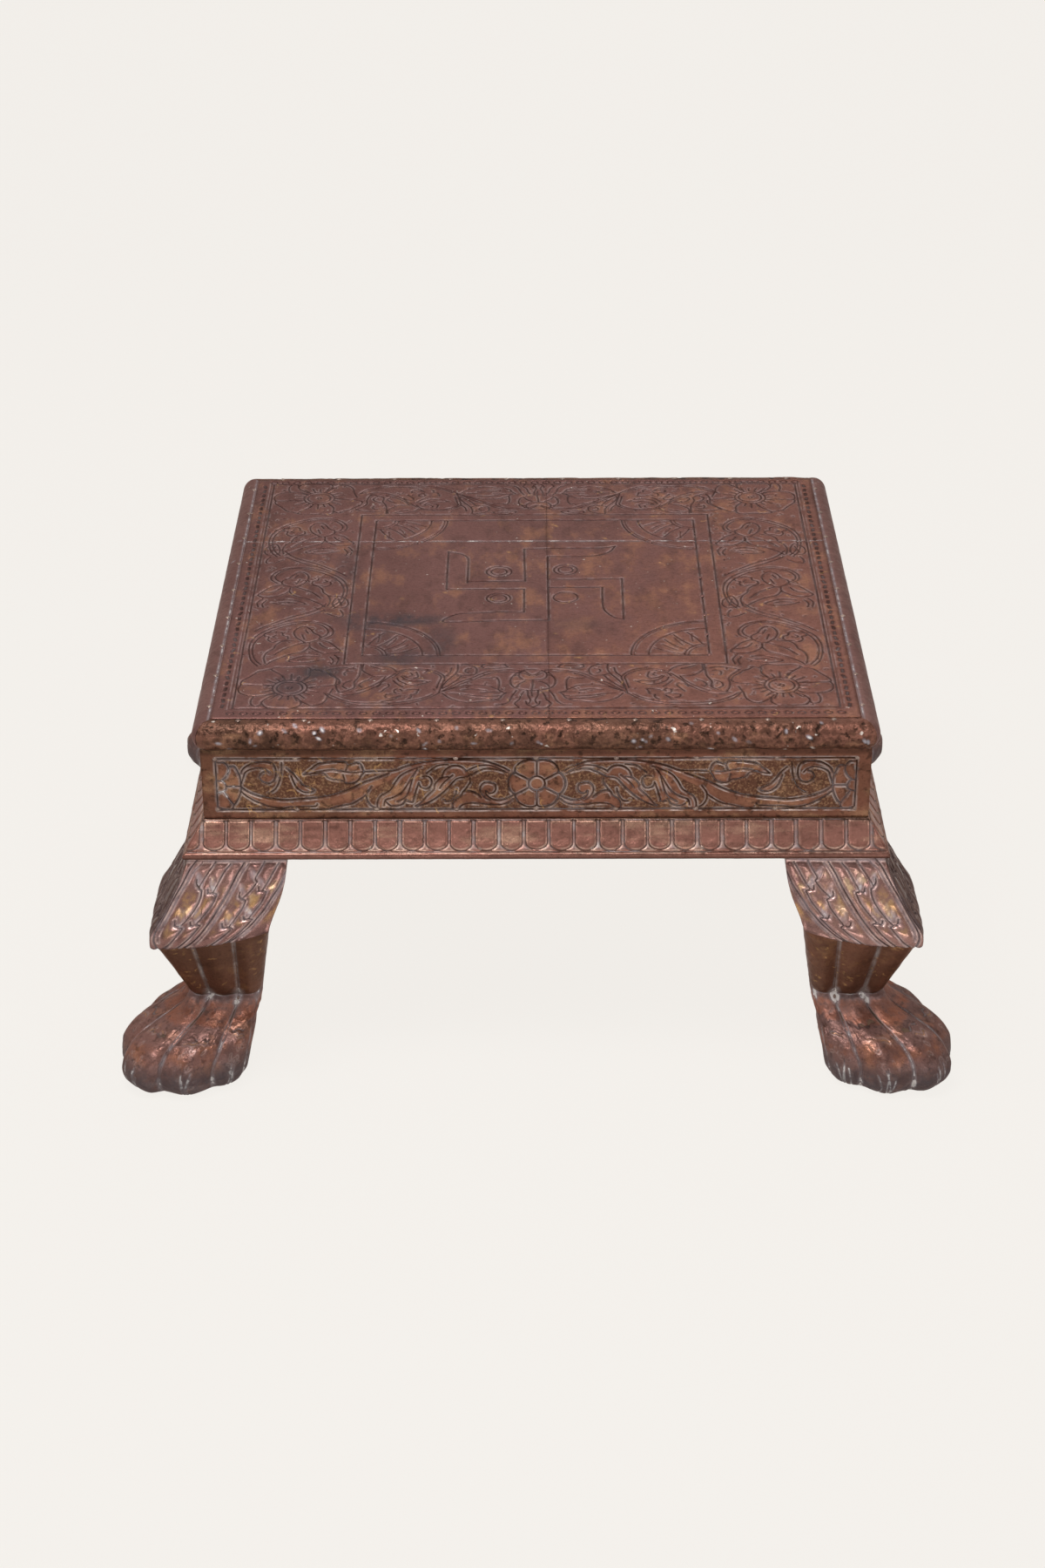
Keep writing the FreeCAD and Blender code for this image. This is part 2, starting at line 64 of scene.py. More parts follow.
# %% Sizes of the table
SHEET = 0.6
HALF_X, HALF_Y = 230.0, 218.0
TOP_Z = 262.0
BOARD_THICKNESS = 21.0
NOSE_LAP = 13.0
SEAM_X, SEAM_Y = 9.0, 85.6
BOARD_LOW = TOP_Z - BOARD_THICKNESS
FACE_X, FACE_Y = 224.9, 205.2
FRIEZE_LOW = BOARD_LOW - 55.0
MOULDING_HEIGHT = 23.0
MOULDING_LOW = FRIEZE_LOW - MOULDING_HEIGHT
FLARE_SIDE, FLARE_FRONT = 14.5, 17.0
KNEE_X, KNEE_Y = FACE_X + FLARE_SIDE - 3.2, FACE_Y + FLARE_FRONT - 3.2
KNEE_LOW = 0.6564 * MOULDING_LOW
ANKLE_HEIGHT = 0.3436 * MOULDING_LOW
CORNERS = {"front_left": (-1, -1), "front_right": (1, -1), "back_left": (-1, 1), "back_right": (1, 1)}
SIDE_TURNS = {"front": 0, "right": 90, "back": 180, "left": 270}
print("moulding", MOULDING_LOW, "knee", round(KNEE_LOW, 1), "ankle", round(ANKLE_HEIGHT, 1))

# %% [markdown]
# A smooth curve through a few given points is how the smith's line is written down. The
# Catmull-Rom spline passes through all its points, so a point can be read off the table and typed.

# %% Smooth lines


def smooth(points, step=1.2, closed=False):
    """Close points, in mm, along a smooth curve through the given ones."""
    p = np.asarray(points, float)
    if closed:
        p = np.vstack([p[-1], p, p[0], p[1]])
    else:
        p = np.vstack([2 * p[0] - p[1], p, 2 * p[-1] - p[-2]])
    runs = []
    for a, b, c, d in zip(p, p[1:], p[2:], p[3:]):
        count = max(2, int(np.linalg.norm(c - b) / step) + 1)
        t = np.linspace(0, 1, count, endpoint=False)[:, None]
        runs.append(b + 0.5 * ((c - a) * t + (2 * a - 5 * b + 4 * c - d) * t ** 2
                               + (3 * b - a - 3 * c + d) * t ** 3))
    runs.append(p[-2][None])
    return np.vstack(runs)


def ring(middle, radius, squeeze=1.0, step=1.0):
    """A closed round line, narrower along x where squeeze is under one."""
    count = max(8, int(2 * math.pi * radius / step))
    turn = np.linspace(0, 2 * math.pi, count + 1)
    return np.stack([middle[0] + radius * squeeze * np.cos(turn), middle[1] + radius * np.sin(turn)], 1)


# %% [markdown]
# The height map is a plain array over a flat field. `line` is how deep the chisel went, from 0 to
# 1, `lift` is how far the sheet was raised, in mm, and `near` is the distance to the nearest
# line, which lets a whole leaf swell between its outlines. Each tool only touches the small
# window round its mark, so thousands of marks stay quick.

# %% The height map


class Relief:
    def __init__(self, low, high, pitch):
        self.low = np.array(low, float)
        self.pitch = pitch
        self.size = [int(math.ceil((b - a) / pitch)) + 1 for a, b in zip(low, high)]
        self.line = np.zeros(self.size)
        self.lift = np.zeros(self.size)
        self.ground = np.ones(self.size)
        self.near = np.full(self.size, NEAR_LIMIT)

    def window(self, low, high):
        start = [max(0, int((v - o) / self.pitch)) for v, o in zip(low, self.low)]
        stop = [min(n, int((v - o) / self.pitch) + 2) for v, o, n in zip(high, self.low, self.size)]
        if start[0] >= stop[0] or start[1] >= stop[1]:
            return None, None, None
        x = self.low[0] + np.arange(start[0], stop[0])[:, None] * self.pitch
        y = self.low[1] + np.arange(start[1], stop[1])[None, :] * self.pitch
        return (slice(start[0], stop[0]), slice(start[1], stop[1])), x, y

    def chase(self, points, width=1.9, depth=1.0):
        """Presses a line of that width along the points."""
        half = width / 2
        reach = max(half, NEAR_LIMIT if self.swells else half)
        points = np.asarray(points, float)
        for a, b in zip(points, points[1:]):
            at, x, y = self.window(np.minimum(a, b) - reach, np.maximum(a, b) + reach)
            if at is None:
                continue
            away = distance(x, y, a, b)
            fall = np.clip(1 - away / half, 0, 1)
            self.line[at] = np.maximum(self.line[at], depth * fall * fall * (3 - 2 * fall))
            if self.swells:
                self.near[at] = np.minimum(self.near[at], away)

    def raise_lobe(self, outline, height, edge=3.0):
        """Lifts the inside of a closed outline, rounded over a width of edge."""
        outline = np.asarray(outline, float)
        at, x, y = self.window(outline.min(0), outline.max(0))
        if at is None:
            return
        inside = np.zeros(np.broadcast(x, y).shape, bool)
        away = np.full(inside.shape, 1e9)
        for a, b in zip(outline, np.roll(outline, -1, 0)):
            away = np.minimum(away, distance(x, y, a, b))
            if a[1] != b[1]:
                crossing = (a[1] > y) != (b[1] > y)
                inside ^= crossing & (x < (b[0] - a[0]) * (y - a[1]) / (b[1] - a[1]) + a[0])
        share = np.clip(away / edge, 0, 1)
        dome = np.where(inside, height * np.sqrt(1 - (1 - share) ** 2), 0)
        self.lift[at] = np.maximum(self.lift[at], dome)
        self.ground[at] = np.where(inside, 0, self.ground[at])

    def dent(self, middle, radius, depth):
        """One blow of a round hammer or punch: a shallow dish, or a bump where depth is below zero."""
        at, x, y = self.window(np.asarray(middle) - radius, np.asarray(middle) + radius)
        if at is None:
            return
        fall = np.clip(1 - ((x - middle[0]) ** 2 + (y - middle[1]) ** 2) / radius ** 2, 0, 1)
        self.lift[at] -= depth * fall * fall

    def read(self, layer, u, v):
        """The value of a layer at any places, by the four points round each."""
        a = np.clip((np.asarray(u) - self.low[0]) / self.pitch, 0, self.size[0] - 1.001)
        b = np.clip((np.asarray(v) - self.low[1]) / self.pitch, 0, self.size[1] - 1.001)
        i, j = a.astype(int), b.astype(int)
        s, t = a - i, b - j
        return ((layer[i, j] * (1 - s) + layer[i + 1, j] * s) * (1 - t)
                + (layer[i, j + 1] * (1 - s) + layer[i + 1, j + 1] * s) * t)


def distance(x, y, a, b):
    """Distance from places to the straight line between two points."""
    run = b - a
    share = np.clip(((x - a[0]) * run[0] + (y - a[1]) * run[1]) / max(run @ run, 1e-9), 0, 1)
    return np.hypot(x - a[0] - share * run[0], y - a[1] - share * run[1])


NEAR_LIMIT = 6.0
Relief.swells = False


def pillow(near, reach=NEAR_LIMIT):
    """How far a sheet swells between its lines: 0 on a line, 1 from reach away."""
    return np.sqrt(1 - (1 - np.clip(near / reach, 0, 1)) ** 2)


def soft_step(value, low, high):
    t = np.clip((value - low) / (high - low), 0, 1)
    return t * t * (3 - 2 * t)


def worn_lit_edge(near, half=1.0):
    """The edge along both sides of a line, rubbed bright and also lightened as a painted highlight."""
    return np.exp(-((near - half - 0.15) / 0.38) ** 2)


# %% [markdown]
# Hammered sheet is never flat. Blows of different sizes, scattered with a fixed seed so that the
# table comes out the same each time, give the skin its slow waves and small dents.

# %% Hammer blows


def hammer(relief, low, high, blows, radii, depths, seed):
    """Scattered blows, about half of them from below."""
    dice = np.random.default_rng(seed)
    for _ in range(blows):
        middle = dice.uniform(low, high)
        radius = dice.uniform(*radii)
        relief.dent(middle, radius, dice.uniform(*depths) * dice.choice((-1, 1)))


def scratches(dice, low, high, count, steps=(3, 7), stride=1.6):
    """Short random strokes, each of which bends as it goes."""
    strokes = []
    for _ in range(count):
        spot, heading = dice.uniform(low, high), dice.uniform(0, 2 * math.pi)
        stroke = [spot]
        for _ in range(dice.integers(*steps)):
            heading += dice.normal(0, 0.7)
            spot = spot + stride * np.array([math.cos(heading), math.sin(heading)])
            stroke.append(spot)
        strokes.append(stroke)
    return strokes


# %% [markdown]
# A mesh through the height map needs small faces only where something happens. Places for its
# vertices are taken from a fine lattice near the lines, and from coarser ones elsewhere, and a
# Delaunay triangulation joins whatever places there are without gaps. The sheet then gets its
# edges and its flat back, so it is a closed thin plate.

# %% Flat sheets


def steepness(height, pitch):
    """How steep a height map is, spread a little to its neighbours."""
    slope = np.hypot(*np.gradient(height, pitch))
    for _ in range(4):
        slope[1:-1, 1:-1] = np.max([slope[1:-1, 1:-1], slope[:-2, 1:-1], slope[2:, 1:-1],
                                    slope[1:-1, :-2], slope[1:-1, 2:]], axis=0)
    return slope


def sheet_places(relief, height, low, high, fine):
    """Vertex places: the rim of a rectangle, then more the steeper the sheet is."""
    counts = [max(2, int(round((b - a) / fine / 4)) * 4) for a, b in zip(low, high)]
    u = np.linspace(low[0], high[0], counts[0] + 1)
    v = np.linspace(low[1], high[1], counts[1] + 1)
    grid_u, grid_v = np.meshgrid(u, v, indexing="ij")
    i, j = np.meshgrid(np.arange(len(u)), np.arange(len(v)), indexing="ij")
    steep = relief.read(steepness(height, relief.pitch), grid_u, grid_v)
    rim = (i == 0) | (j == 0) | (i == counts[0]) | (j == counts[1])
    keep = (steep > 0.11) | ((i % 2 == 0) & (j % 2 == 0) & (steep > 0.03)) | ((i % 4 == 0) & (j % 4 == 0))
    keep = np.where(rim, (i % 2 == 0) & (j % 2 == 0), keep)
    return grid_u[keep], grid_v[keep]


def flat_sheet(name, relief, height, low, high, place, fine=0.6, extra=None, thickness=SHEET):
    """A closed plate over the rectangle, whose front follows the height map.

    place(u, v, h) gives the point in mm for a place on the field and a height over it. extra
    holds more value layers, each as a map over the field."""
    u, v = sheet_places(relief, height, low, high, fine)
    flat = delaunay_2d_cdt([(float(a), float(b)) for a, b in zip(u, v)], [], [], 0, 1e-5)
    spots = np.array([tuple(p) for p in flat[0]])
    faces = [tuple(face) for face in flat[2]]
    front = place(spots[:, 0], spots[:, 1], relief.read(height, spots[:, 0], spots[:, 1]))
    rim = rim_order(spots, low, high)
    back = place(spots[rim, 0], spots[rim, 1], np.full(len(rim), -thickness))
    count = len(spots)
    walls = [(rim[k], count + k, count + (k + 1) % len(rim), rim[(k + 1) % len(rim)])
             for k in range(len(rim))]
    floor = tuple(count + k for k in range(len(rim)))[::-1]
    both = np.vstack([spots, spots[rim]])
    # Beside every line the edges are lightened, partly as rubbed wear and partly as painted highlight, and
    # the line and the sheet beside it are darkened as painted shade.
    maps = {"line": relief.line, "ground": relief.ground, "worn_lit_edge": worn_lit_edge(relief.near),
            "painted_shade": 0.8 - 0.8 * pillow(relief.near, 2.4), **(extra or {})}
    layers = {key: relief.read(values, both[:, 0], both[:, 1]) for key, values in maps.items()}
    layers["line"][count:] = 0
    return make_mesh(name, np.vstack([front, back]), faces + walls + [floor], layers,
                     flat_faces=len(walls) + 1)


def rim_order(spots, low, high):
    """The places on the rectangle's rim, in order, against the clock."""
    (x0, y0), (x1, y1) = low, high
    sides = ((spots[:, 1] < y0 + 1e-3, spots[:, 0], 1), (spots[:, 0] > x1 - 1e-3, spots[:, 1], 1),
             (spots[:, 1] > y1 - 1e-3, spots[:, 0], -1), (spots[:, 0] < x0 + 1e-3, spots[:, 1], -1))
    order = []
    for mask, key, way in sides:
        found = np.flatnonzero(mask)
        found = found[np.argsort(way * key[found])]
        order += [int(k) for k in found if int(k) not in order[-1:] and int(k) != (order[0] if order else -1)]
    return order


def make_mesh(name, points, faces, layers, flat_faces=0):
    """A mesh object from points in mm, with its value layers."""
    mesh = bpy.data.meshes.new(name)
    mesh.from_pydata((np.asarray(points) * MM).tolist(), [], faces)
    smooth_faces = np.ones(len(mesh.polygons), bool)
    if flat_faces:
        smooth_faces[-flat_faces:] = False
    mesh.polygons.foreach_set("use_smooth", smooth_faces)
    for layer, values in layers.items():
        attribute = mesh.attributes.new(layer, "FLOAT", "POINT")
        attribute.data.foreach_set("value", np.asarray(values, np.float32))
    mesh.validate()
    piece = bpy.data.objects.new(name, mesh)
    bpy.context.scene.collection.objects.link(piece)
    return piece


def settle(piece, replaced, material):
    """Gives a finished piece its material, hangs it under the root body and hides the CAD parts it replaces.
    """
    piece.data.materials.append(material)
    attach(piece, "root")
    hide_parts(*([replaced] if isinstance(replaced, str) else replaced))
    print(piece.name, len(piece.data.vertices), "vertices")
    return piece

# %% [markdown]
# The camera stands where the photograph was taken from: about two metres in front of the table
# and well above it, through a long lens, so that lines that run back hardly close in. It is a
# touch out of level, as a camera on a tripod is.

# %% Camera
CAMERA_PLACE = Vector((-4.03, -1959.5, 1164.8)) * MM
CAMERA_DOWN, CAMERA_YAW, CAMERA_ROLL = math.radians(28.5), 0.0029, -0.0037

right = Vector((math.cos(CAMERA_YAW), math.sin(CAMERA_YAW), 0))
ahead = Vector((-math.sin(CAMERA_YAW) * math.cos(CAMERA_DOWN),
                math.cos(CAMERA_YAW) * math.cos(CAMERA_DOWN), -math.sin(CAMERA_DOWN)))
up = right.cross(ahead)
tilted_right = right * math.cos(CAMERA_ROLL) + up * math.sin(CAMERA_ROLL)
tilted_up = up * math.cos(CAMERA_ROLL) - right * math.sin(CAMERA_ROLL)
camera = bpy.data.objects.new("camera", bpy.data.cameras.new("camera"))
camera.data.lens = 67.97
camera.data.sensor_width = 36.0
camera.data.clip_end = 50.0
axes = Matrix((tilted_right, tilted_up, -ahead)).transposed()
camera.matrix_world = Matrix.Translation(CAMERA_PLACE) @ axes.to_4x4()
bpy.context.scene.collection.objects.link(camera)
bpy.context.scene.camera = camera
print("camera set")

# %% [markdown]
# The table was lit softly from above, on a seamless pale sweep. One broad lamp overhead and a
# little to the front gives the long pale glints on the rounded edge. Weaker ones fill in from the
# front, the sides and behind, and the pale world does the rest. The sweep shows as plain pale
# paper to the camera and in reflections, and keeps a faint shadow.

# %% Light and sweep
PAPER = (0.905, 0.875, 0.835, 1.0)


def soft_lamp(name, place, aim, size, watts):
    lamp = bpy.data.objects.new(name, bpy.data.lights.new(name, "AREA"))
    lamp.data.shape = "RECTANGLE"
    lamp.data.size, lamp.data.size_y = size
    lamp.data.energy = watts
    lamp.location = place
    lamp.rotation_euler = (Vector(aim) - Vector(place)).to_track_quat("-Z", "Y").to_euler()
    bpy.context.scene.collection.objects.link(lamp)


soft_lamp("lamp_over", (-0.35, -0.55, 1.9), (0, 0, 0.1), (1.0, 0.6), 28)
soft_lamp("lamp_back", (0.45, 1.5, 1.7), (0, 0, 0.2), (1.0, 0.5), 5)
soft_lamp("lamp_left", (-1.9, -0.9, 0.9), (0, 0, 0.12), (0.6, 0.9), 7)
soft_lamp("lamp_right", (1.8, -1.1, 0.8), (0, 0, 0.12), (0.6, 0.9), 6)
soft_lamp("lamp_front", (0.2, -2.3, 0.55), (0, 0, 0.12), (1.3, 0.5), 10)


def nodes_of(owner):
    """The owner's node tree, switched on and emptied."""
    owner.use_nodes = True
    tree = owner.node_tree
    tree.nodes.clear()
    return tree


def sums(tree, operation, *values, clamp=False):
    node = tree.nodes.new("ShaderNodeMath")
    node.operation = operation
    node.use_clamp = clamp
    for socket, value in zip(node.inputs, values):
        if isinstance(value, bpy.types.NodeSocket):
            tree.links.new(value, socket)
        else:
            socket.default_value = value
    return node.outputs[0]


world = bpy.data.worlds.new("pale room")
bpy.context.scene.world = world
tree = nodes_of(world)
glow = tree.nodes.new("ShaderNodeBackground")
glow.inputs["Color"].default_value = PAPER
glow.inputs["Strength"].default_value = 0.3
tree.links.new(glow.outputs[0], tree.nodes.new("ShaderNodeOutputWorld").inputs["Surface"])

sweep_mesh = bpy.data.meshes.new("sweep")
across, rows = 7.0, [(-5.0, 0.0), (1.6, 0.0)]
rows += [(1.6 + 1.2 * math.sin(k * math.pi / 24), 1.2 - 1.2 * math.cos(k * math.pi / 24))
         for k in range(1, 13)]
rows += [(2.8, 6.0)]
points = [(sign * across, y, z) for y, z in rows for sign in (-1, 1)]
sweep_mesh.from_pydata(points, [], [(2 * k, 2 * k + 1, 2 * k + 3, 2 * k + 2) for k in range(len(rows) - 1)])
sweep_mesh.polygons.foreach_set("use_smooth", [True] * len(sweep_mesh.polygons))
sweep = bpy.data.objects.new("sweep", sweep_mesh)
bpy.context.scene.collection.objects.link(sweep)
paper = bpy.data.materials.new("pale paper")
tree = nodes_of(paper)
matt = tree.nodes.new("ShaderNodeBsdfPrincipled")
matt.inputs["Base Color"].default_value = (0.82, 0.8, 0.775, 1)
matt.inputs["Roughness"].default_value = 0.95
plain = tree.nodes.new("ShaderNodeEmission")
plain.inputs["Color"].default_value = PAPER
path = tree.nodes.new("ShaderNodeLightPath")
seen = sums(tree, "MAXIMUM", path.outputs["Is Camera Ray"], path.outputs["Is Glossy Ray"])
seen = sums(tree, "MAXIMUM", seen, path.outputs["Is Transmission Ray"])
blend = tree.nodes.new("ShaderNodeMixShader")
tree.links.new(sums(tree, "MULTIPLY", seen, 0.96), blend.inputs[0])
tree.links.new(matt.outputs[0], blend.inputs[1])
tree.links.new(plain.outputs[0], blend.inputs[2])
tree.links.new(blend.outputs[0], tree.nodes.new("ShaderNodeOutputMaterial").inputs["Surface"])
sweep_mesh.materials.append(paper)
print("light set")

# %% [markdown]
# Old copper is brown rather than pink. Where hands and cloth reach, it is rubbed to a warm shine,
# and in the chased lines it keeps dark tarnish and a pale crust of polish that has dried there.
# One function makes all the coppers of the table from a few colours. Its lighter patches are that
# rubbed shine, and on the knees also painted highlights. Value layers of the mesh say where each
# effect lies: `line` the chased lines, `ground` the punched ground, `worn_lit_edge` the edges of
# lines, rubbed and also lightened as painted highlight, `haze` pale dried polish, `calm` where
# neither rubbed shine nor painted highlight shows, `scratches_and_sheen` golden scratches and
# painted golden highlights, and `painted_shade` painted shade in dips, along lines, under edges and
# on faces turned from the light. `tone` and `stain` add a warmer body and dark stains where they
# exist. On the friezes and the paws, the warmer body also stands for painted light on swells.

# %% Copper


def mixed(tree, factor, first, second, kind="MIX"):
    mix = tree.nodes.new("ShaderNodeMix")
    mix.data_type = "RGBA"
    mix.blend_type = kind
    for socket, value in ((mix.inputs[0], factor), (mix.inputs[6], first), (mix.inputs[7], second)):
        if isinstance(value, bpy.types.NodeSocket):
            tree.links.new(value, socket)
        else:
            socket.default_value = value
    return mix.outputs[2]


def laid(tree, shade, share, strength, over):
    """A shade with another colour laid over it, by a share times a strength."""
    return mixed(tree, sums(tree, "MULTIPLY", share, strength), shade, colour(over))


def noise(tree, place, scale, detail=3.0, rough=0.5, stretch=None):
    if stretch:
        bend = tree.nodes.new("ShaderNodeMapping")
        bend.inputs["Scale"].default_value = stretch
        tree.links.new(place, bend.inputs["Vector"])
        place = bend.outputs[0]
    node = tree.nodes.new("ShaderNodeTexNoise")
    node.inputs["Scale"].default_value = scale
    node.inputs["Detail"].default_value = detail
    node.inputs["Roughness"].default_value = rough
    tree.links.new(place, node.inputs["Vector"])
    return node.outputs["Fac"]


def ramp(tree, value, low, high):
    """0 below low, 1 above high, smooth between."""
    node = tree.nodes.new("ShaderNodeMapRange")
    node.interpolation_type = "SMOOTHSTEP"
    node.inputs["From Min"].default_value = low
    node.inputs["From Max"].default_value = high
    tree.links.new(value, node.inputs["Value"])
    return node.outputs["Result"]


def layer(tree, name):
    node = tree.nodes.new("ShaderNodeAttribute")
    node.attribute_name = name
    return node.outputs["Fac"]


def colour(code):
    """A colour written as six hex digits, as linear light."""
    parts = [int(code[k:k + 2], 16) / 255 for k in (0, 2, 4)]
    return tuple(c / 12.92 if c < 0.04045 else ((c + 0.055) / 1.055) ** 2.4 for c in parts) + (1.0,)


def copper(name, body, cloud, glint, tarnish, crust, edge, rubbed_and_lit=0.5, crusted=0.5, rough=0.42, dents=0.3,
           specks=0.0, speck=260, lips=0.6, lined=0.85, blots=0.0, warm=None,
           grain=(1.0, 1.0, 1.0)):
    """Old copper: body and cloud colours, lighter patches of glint that are partly rubbed shine and
    partly painted highlight, tarnish in the lines, and a crust.

    edge is the colour of the edges beside the lines, partly rubbed wear and partly painted highlight.
    warm is a second body colour, for sheets with a `tone` layer that says where it takes over."""
    material = bpy.data.materials.new(name)
    tree = nodes_of(material)
    place = tree.nodes.new("ShaderNodeTexCoord").outputs["Object"]
    line, ground, worn_lit_edges, haze, calm, scratches_and_sheen, painted_shade = (
        layer(tree, key) for key in ("line", "ground", "worn_lit_edge", "haze", "calm", "scratches_and_sheen", "painted_shade"))
    slow = noise(tree, place, 14, 4, 0.6, grain)
    middle = noise(tree, place, 60, 5, 0.62, grain)
    fine = noise(tree, place, 420, 3, 0.65)
    streak = noise(tree, place, 75, 5, 0.65, grain)
    shade = mixed(tree, ramp(tree, slow, 0.36, 0.64), colour(body), colour(cloud))
    if warm:
        toned = sums(tree, "MULTIPLY_ADD", sums(tree, "SUBTRACT", middle, 0.5), 1.2, layer(tree, "tone"))
        shade = mixed(tree, ramp(tree, toned, 0.25, 0.75), shade, colour(warm))
    # Lighter glint patches: rubbed shine, and on the knees painted highlight. calm keeps them away.
    bare = sums(tree, "MULTIPLY_ADD", calm, -rubbed_and_lit, rubbed_and_lit, clamp=True)
    shade = laid(tree, shade, ramp(tree, middle, 0.5, 0.7), bare, glint)
    shade = laid(tree, shade, ramp(tree, streak, 0.5, 0.66), 0.3, tarnish)
    shade = laid(tree, shade, ramp(tree, fine, 0.5, 0.75), 0.3, tarnish)
    if blots:
        dark = ramp(tree, noise(tree, place, 190, 4, 0.6), 0.53, 0.66)
        shade = laid(tree, shade, dark, blots, tarnish)
    pit = mixed(tree, 0.35, colour(tarnish), colour(cloud))
    stipple = mixed(tree, sums(tree, "MULTIPLY", ramp(tree, noise(tree, place, 560, 3, 0.65), 0.44, 0.7),
                               0.75), pit,
                    colour(glint))
    shade = mixed(tree, sums(tree, "MULTIPLY", ground, 0.6), shade, stipple)
    # Painted shade: the tarnish colour is laid over dips, strips along the lines, edges under overhangs and
    # faces turned from the light.
    shade = laid(tree, shade, painted_shade, 0.6, tarnish)
    clouds = ramp(tree, noise(tree, place, 95, 4, 0.7), 0.36, 0.62)
    chalk = sums(tree, "MULTIPLY", haze, sums(tree, "MULTIPLY_ADD", clouds, 0.6, 0.25))
    shade = mixed(tree, chalk, shade, colour(crust))
    broken = ramp(tree, noise(tree, place, 110, 3, 0.6), 0.36, 0.62)
    # Painted highlight: the edges beside the lines are lightened, partly as rubbed wear and partly as the lit
    # lips of the grooves.
    shade = laid(tree, shade, worn_lit_edges, sums(tree, "MULTIPLY", broken, lips), edge)
    shade = laid(tree, shade, ramp(tree, line, 0.3, 0.75), lined, tarnish)
    patches = ramp(tree, noise(tree, place, 42, 4, 0.65), 0.42, 0.62)
    dried = sums(tree, "MULTIPLY", ramp(tree, line, 0.5, 0.9), sums(tree, "MULTIPLY", patches, crusted))
    shade = mixed(tree, dried, shade, colour(crust))
    salt = ramp(tree, sums(tree, "MULTIPLY", haze, clouds), 0.68, 0.95)
    shade = mixed(tree, salt, shade, colour("d6d0cd"))
    # Golden scratches. On the knees and on the paw creases, the same layer is a painted golden highlight.
    shade = laid(tree, shade, scratches_and_sheen, broken, "c79a63")
    if warm:
        stain = sums(tree, "MULTIPLY", layer(tree, "stain"), ramp(tree, middle, 0.3, 0.55))
        shade = laid(tree, shade, stain, 0.85, "3a363b")
    # Pale specks: a few light dots on the top and the side strips. On the nose they are partly bright scale
    # and partly painted glints on dent facets.
    if specks:
        pale_specks = ramp(tree, noise(tree, place, speck, 2, 0.5), 0.735 - 0.0004 * (260 - speck), 0.76)
        shade = laid(tree, shade, pale_specks, specks, "d8cfc6")
    skin = tree.nodes.new("ShaderNodeBsdfPrincipled")
    tree.links.new(shade, skin.inputs["Base Color"])
    skin.inputs["Metallic"].default_value = 0.6
    skin.inputs["Specular IOR Level"].default_value = 0.3
    skin.inputs["Specular Tint"].default_value = (0.5, 0.4, 0.37, 1.0)
    dull = sums(tree, "MULTIPLY_ADD", chalk, 0.35, rough)
    dull = sums(tree, "MULTIPLY_ADD", ramp(tree, middle, 0.3, 0.7), -0.1, dull)
    tree.links.new(sums(tree, "MULTIPLY_ADD", ramp(tree, fine, 0.3, 0.7), 0.12, dull),
                   skin.inputs["Roughness"])
    height = sums(tree, "MULTIPLY_ADD", noise(tree, place, 130, 3, 0.55), 1.0,
                  sums(tree, "MULTIPLY", noise(tree, place, 700, 2, 0.5), 0.2))
    bump = tree.nodes.new("ShaderNodeBump")
    bump.inputs["Strength"].default_value = dents
    bump.inputs["Distance"].default_value = 0.0016
    tree.links.new(height, bump.inputs["Height"])
    tree.links.new(bump.outputs[0], skin.inputs["Normal"])
    tree.links.new(skin.outputs[0], tree.nodes.new("ShaderNodeOutputMaterial").inputs["Surface"])
    return material


TOP_COPPER = copper("copper of the top", "6f4d49", "664642", "95684f", "301e1c", "8a8082", "9c8b8b",
                    rubbed_and_lit=0.5,
                    crusted=0.3, specks=0.6, lips=0.6, warm="704a41", grain=(1.0, 0.45, 1.0))
NOSE_COPPER = copper("copper of the nose", "7c5346", "6b4b3d", "ae8163", "20150f", "b4b0b8", "c9a878",
                     rubbed_and_lit=0.45,
                     crusted=0.3, rough=0.42, dents=0.9, specks=0.8, speck=160, lips=0.3, blots=0.85)
SIDE_COPPER = copper("copper of the side edges", "73544f", "694a46", "8c6258", "3a2826", "9a9296", "a39494",
                     rubbed_and_lit=0.3, crusted=0.3, rough=0.42, dents=0.3, specks=0.4)
FRIEZE_COPPER = copper("copper of the friezes", "7a4f40", "6c4838", "b08a68", "241812", "aaa0a4", "bcaea9",
                       rubbed_and_lit=0.45, crusted=0.5, rough=0.34, lips=0.75, blots=0.6, warm="8e614d",
                       grain=(0.6, 0.6, 1.1))
PETAL_COPPER = copper("copper of the petals", "9c6d61", "865b50", "dab196", "38261f", "8a8082", "cdb4a2",
                      rubbed_and_lit=0.5, crusted=0.5, rough=0.32, dents=0.3, lips=0.6, blots=0.3,
                      grain=(0.3, 0.3, 1.5))
# On the knees the bright glint, laid on strongly, paints highlights on the feathers.
KNEE_COPPER = copper("copper of the knees", "9a756d", "83605a", "ecc9a4", "2c1c18", "a2969a", "d6bcae",
                     rubbed_and_lit=0.95,
                     crusted=0.5, rough=0.25, lips=0.5, lined=0.75, dents=0.2)
SHIN_COPPER = copper("copper of the shins", "6e4838", "5c3e30", "916a48", "281a14", "a29a98", "a0703e",
                     rubbed_and_lit=0.4,
                     crusted=0.5, rough=0.4)
PAW_COPPER = copper("copper of the paws", "795851", "6e524d", "a5745c", "33221e", "a0979a", "bba8a2",
                    rubbed_and_lit=0.5,
                    crusted=0.6, rough=0.4, lips=0.9, lined=0.6, dents=0.5, blots=0.5, warm="8c5743")
PIN_COPPER = copper("copper of the pins", "927e75", "7f6b62", "bba89a", "42312b", "a89c9c", "b9a08c",
                    rubbed_and_lit=0.4,
                    rough=0.34)
print("coppers mixed")

# %% [markdown]
# The top has a square in the middle with the sign of good fortune and a fan in each corner. Round
# it runs a band of vines with a lotus at the middle of the front and a flower in each corner, then
# a border line and a row of little ring punches. The right half of the front band and one loop of
# the side vine are written down as lines, in mm from the middle of the table. The rest of the band
# is the same work turned over, moved or squeezed, as the smith did it with the same few tools.

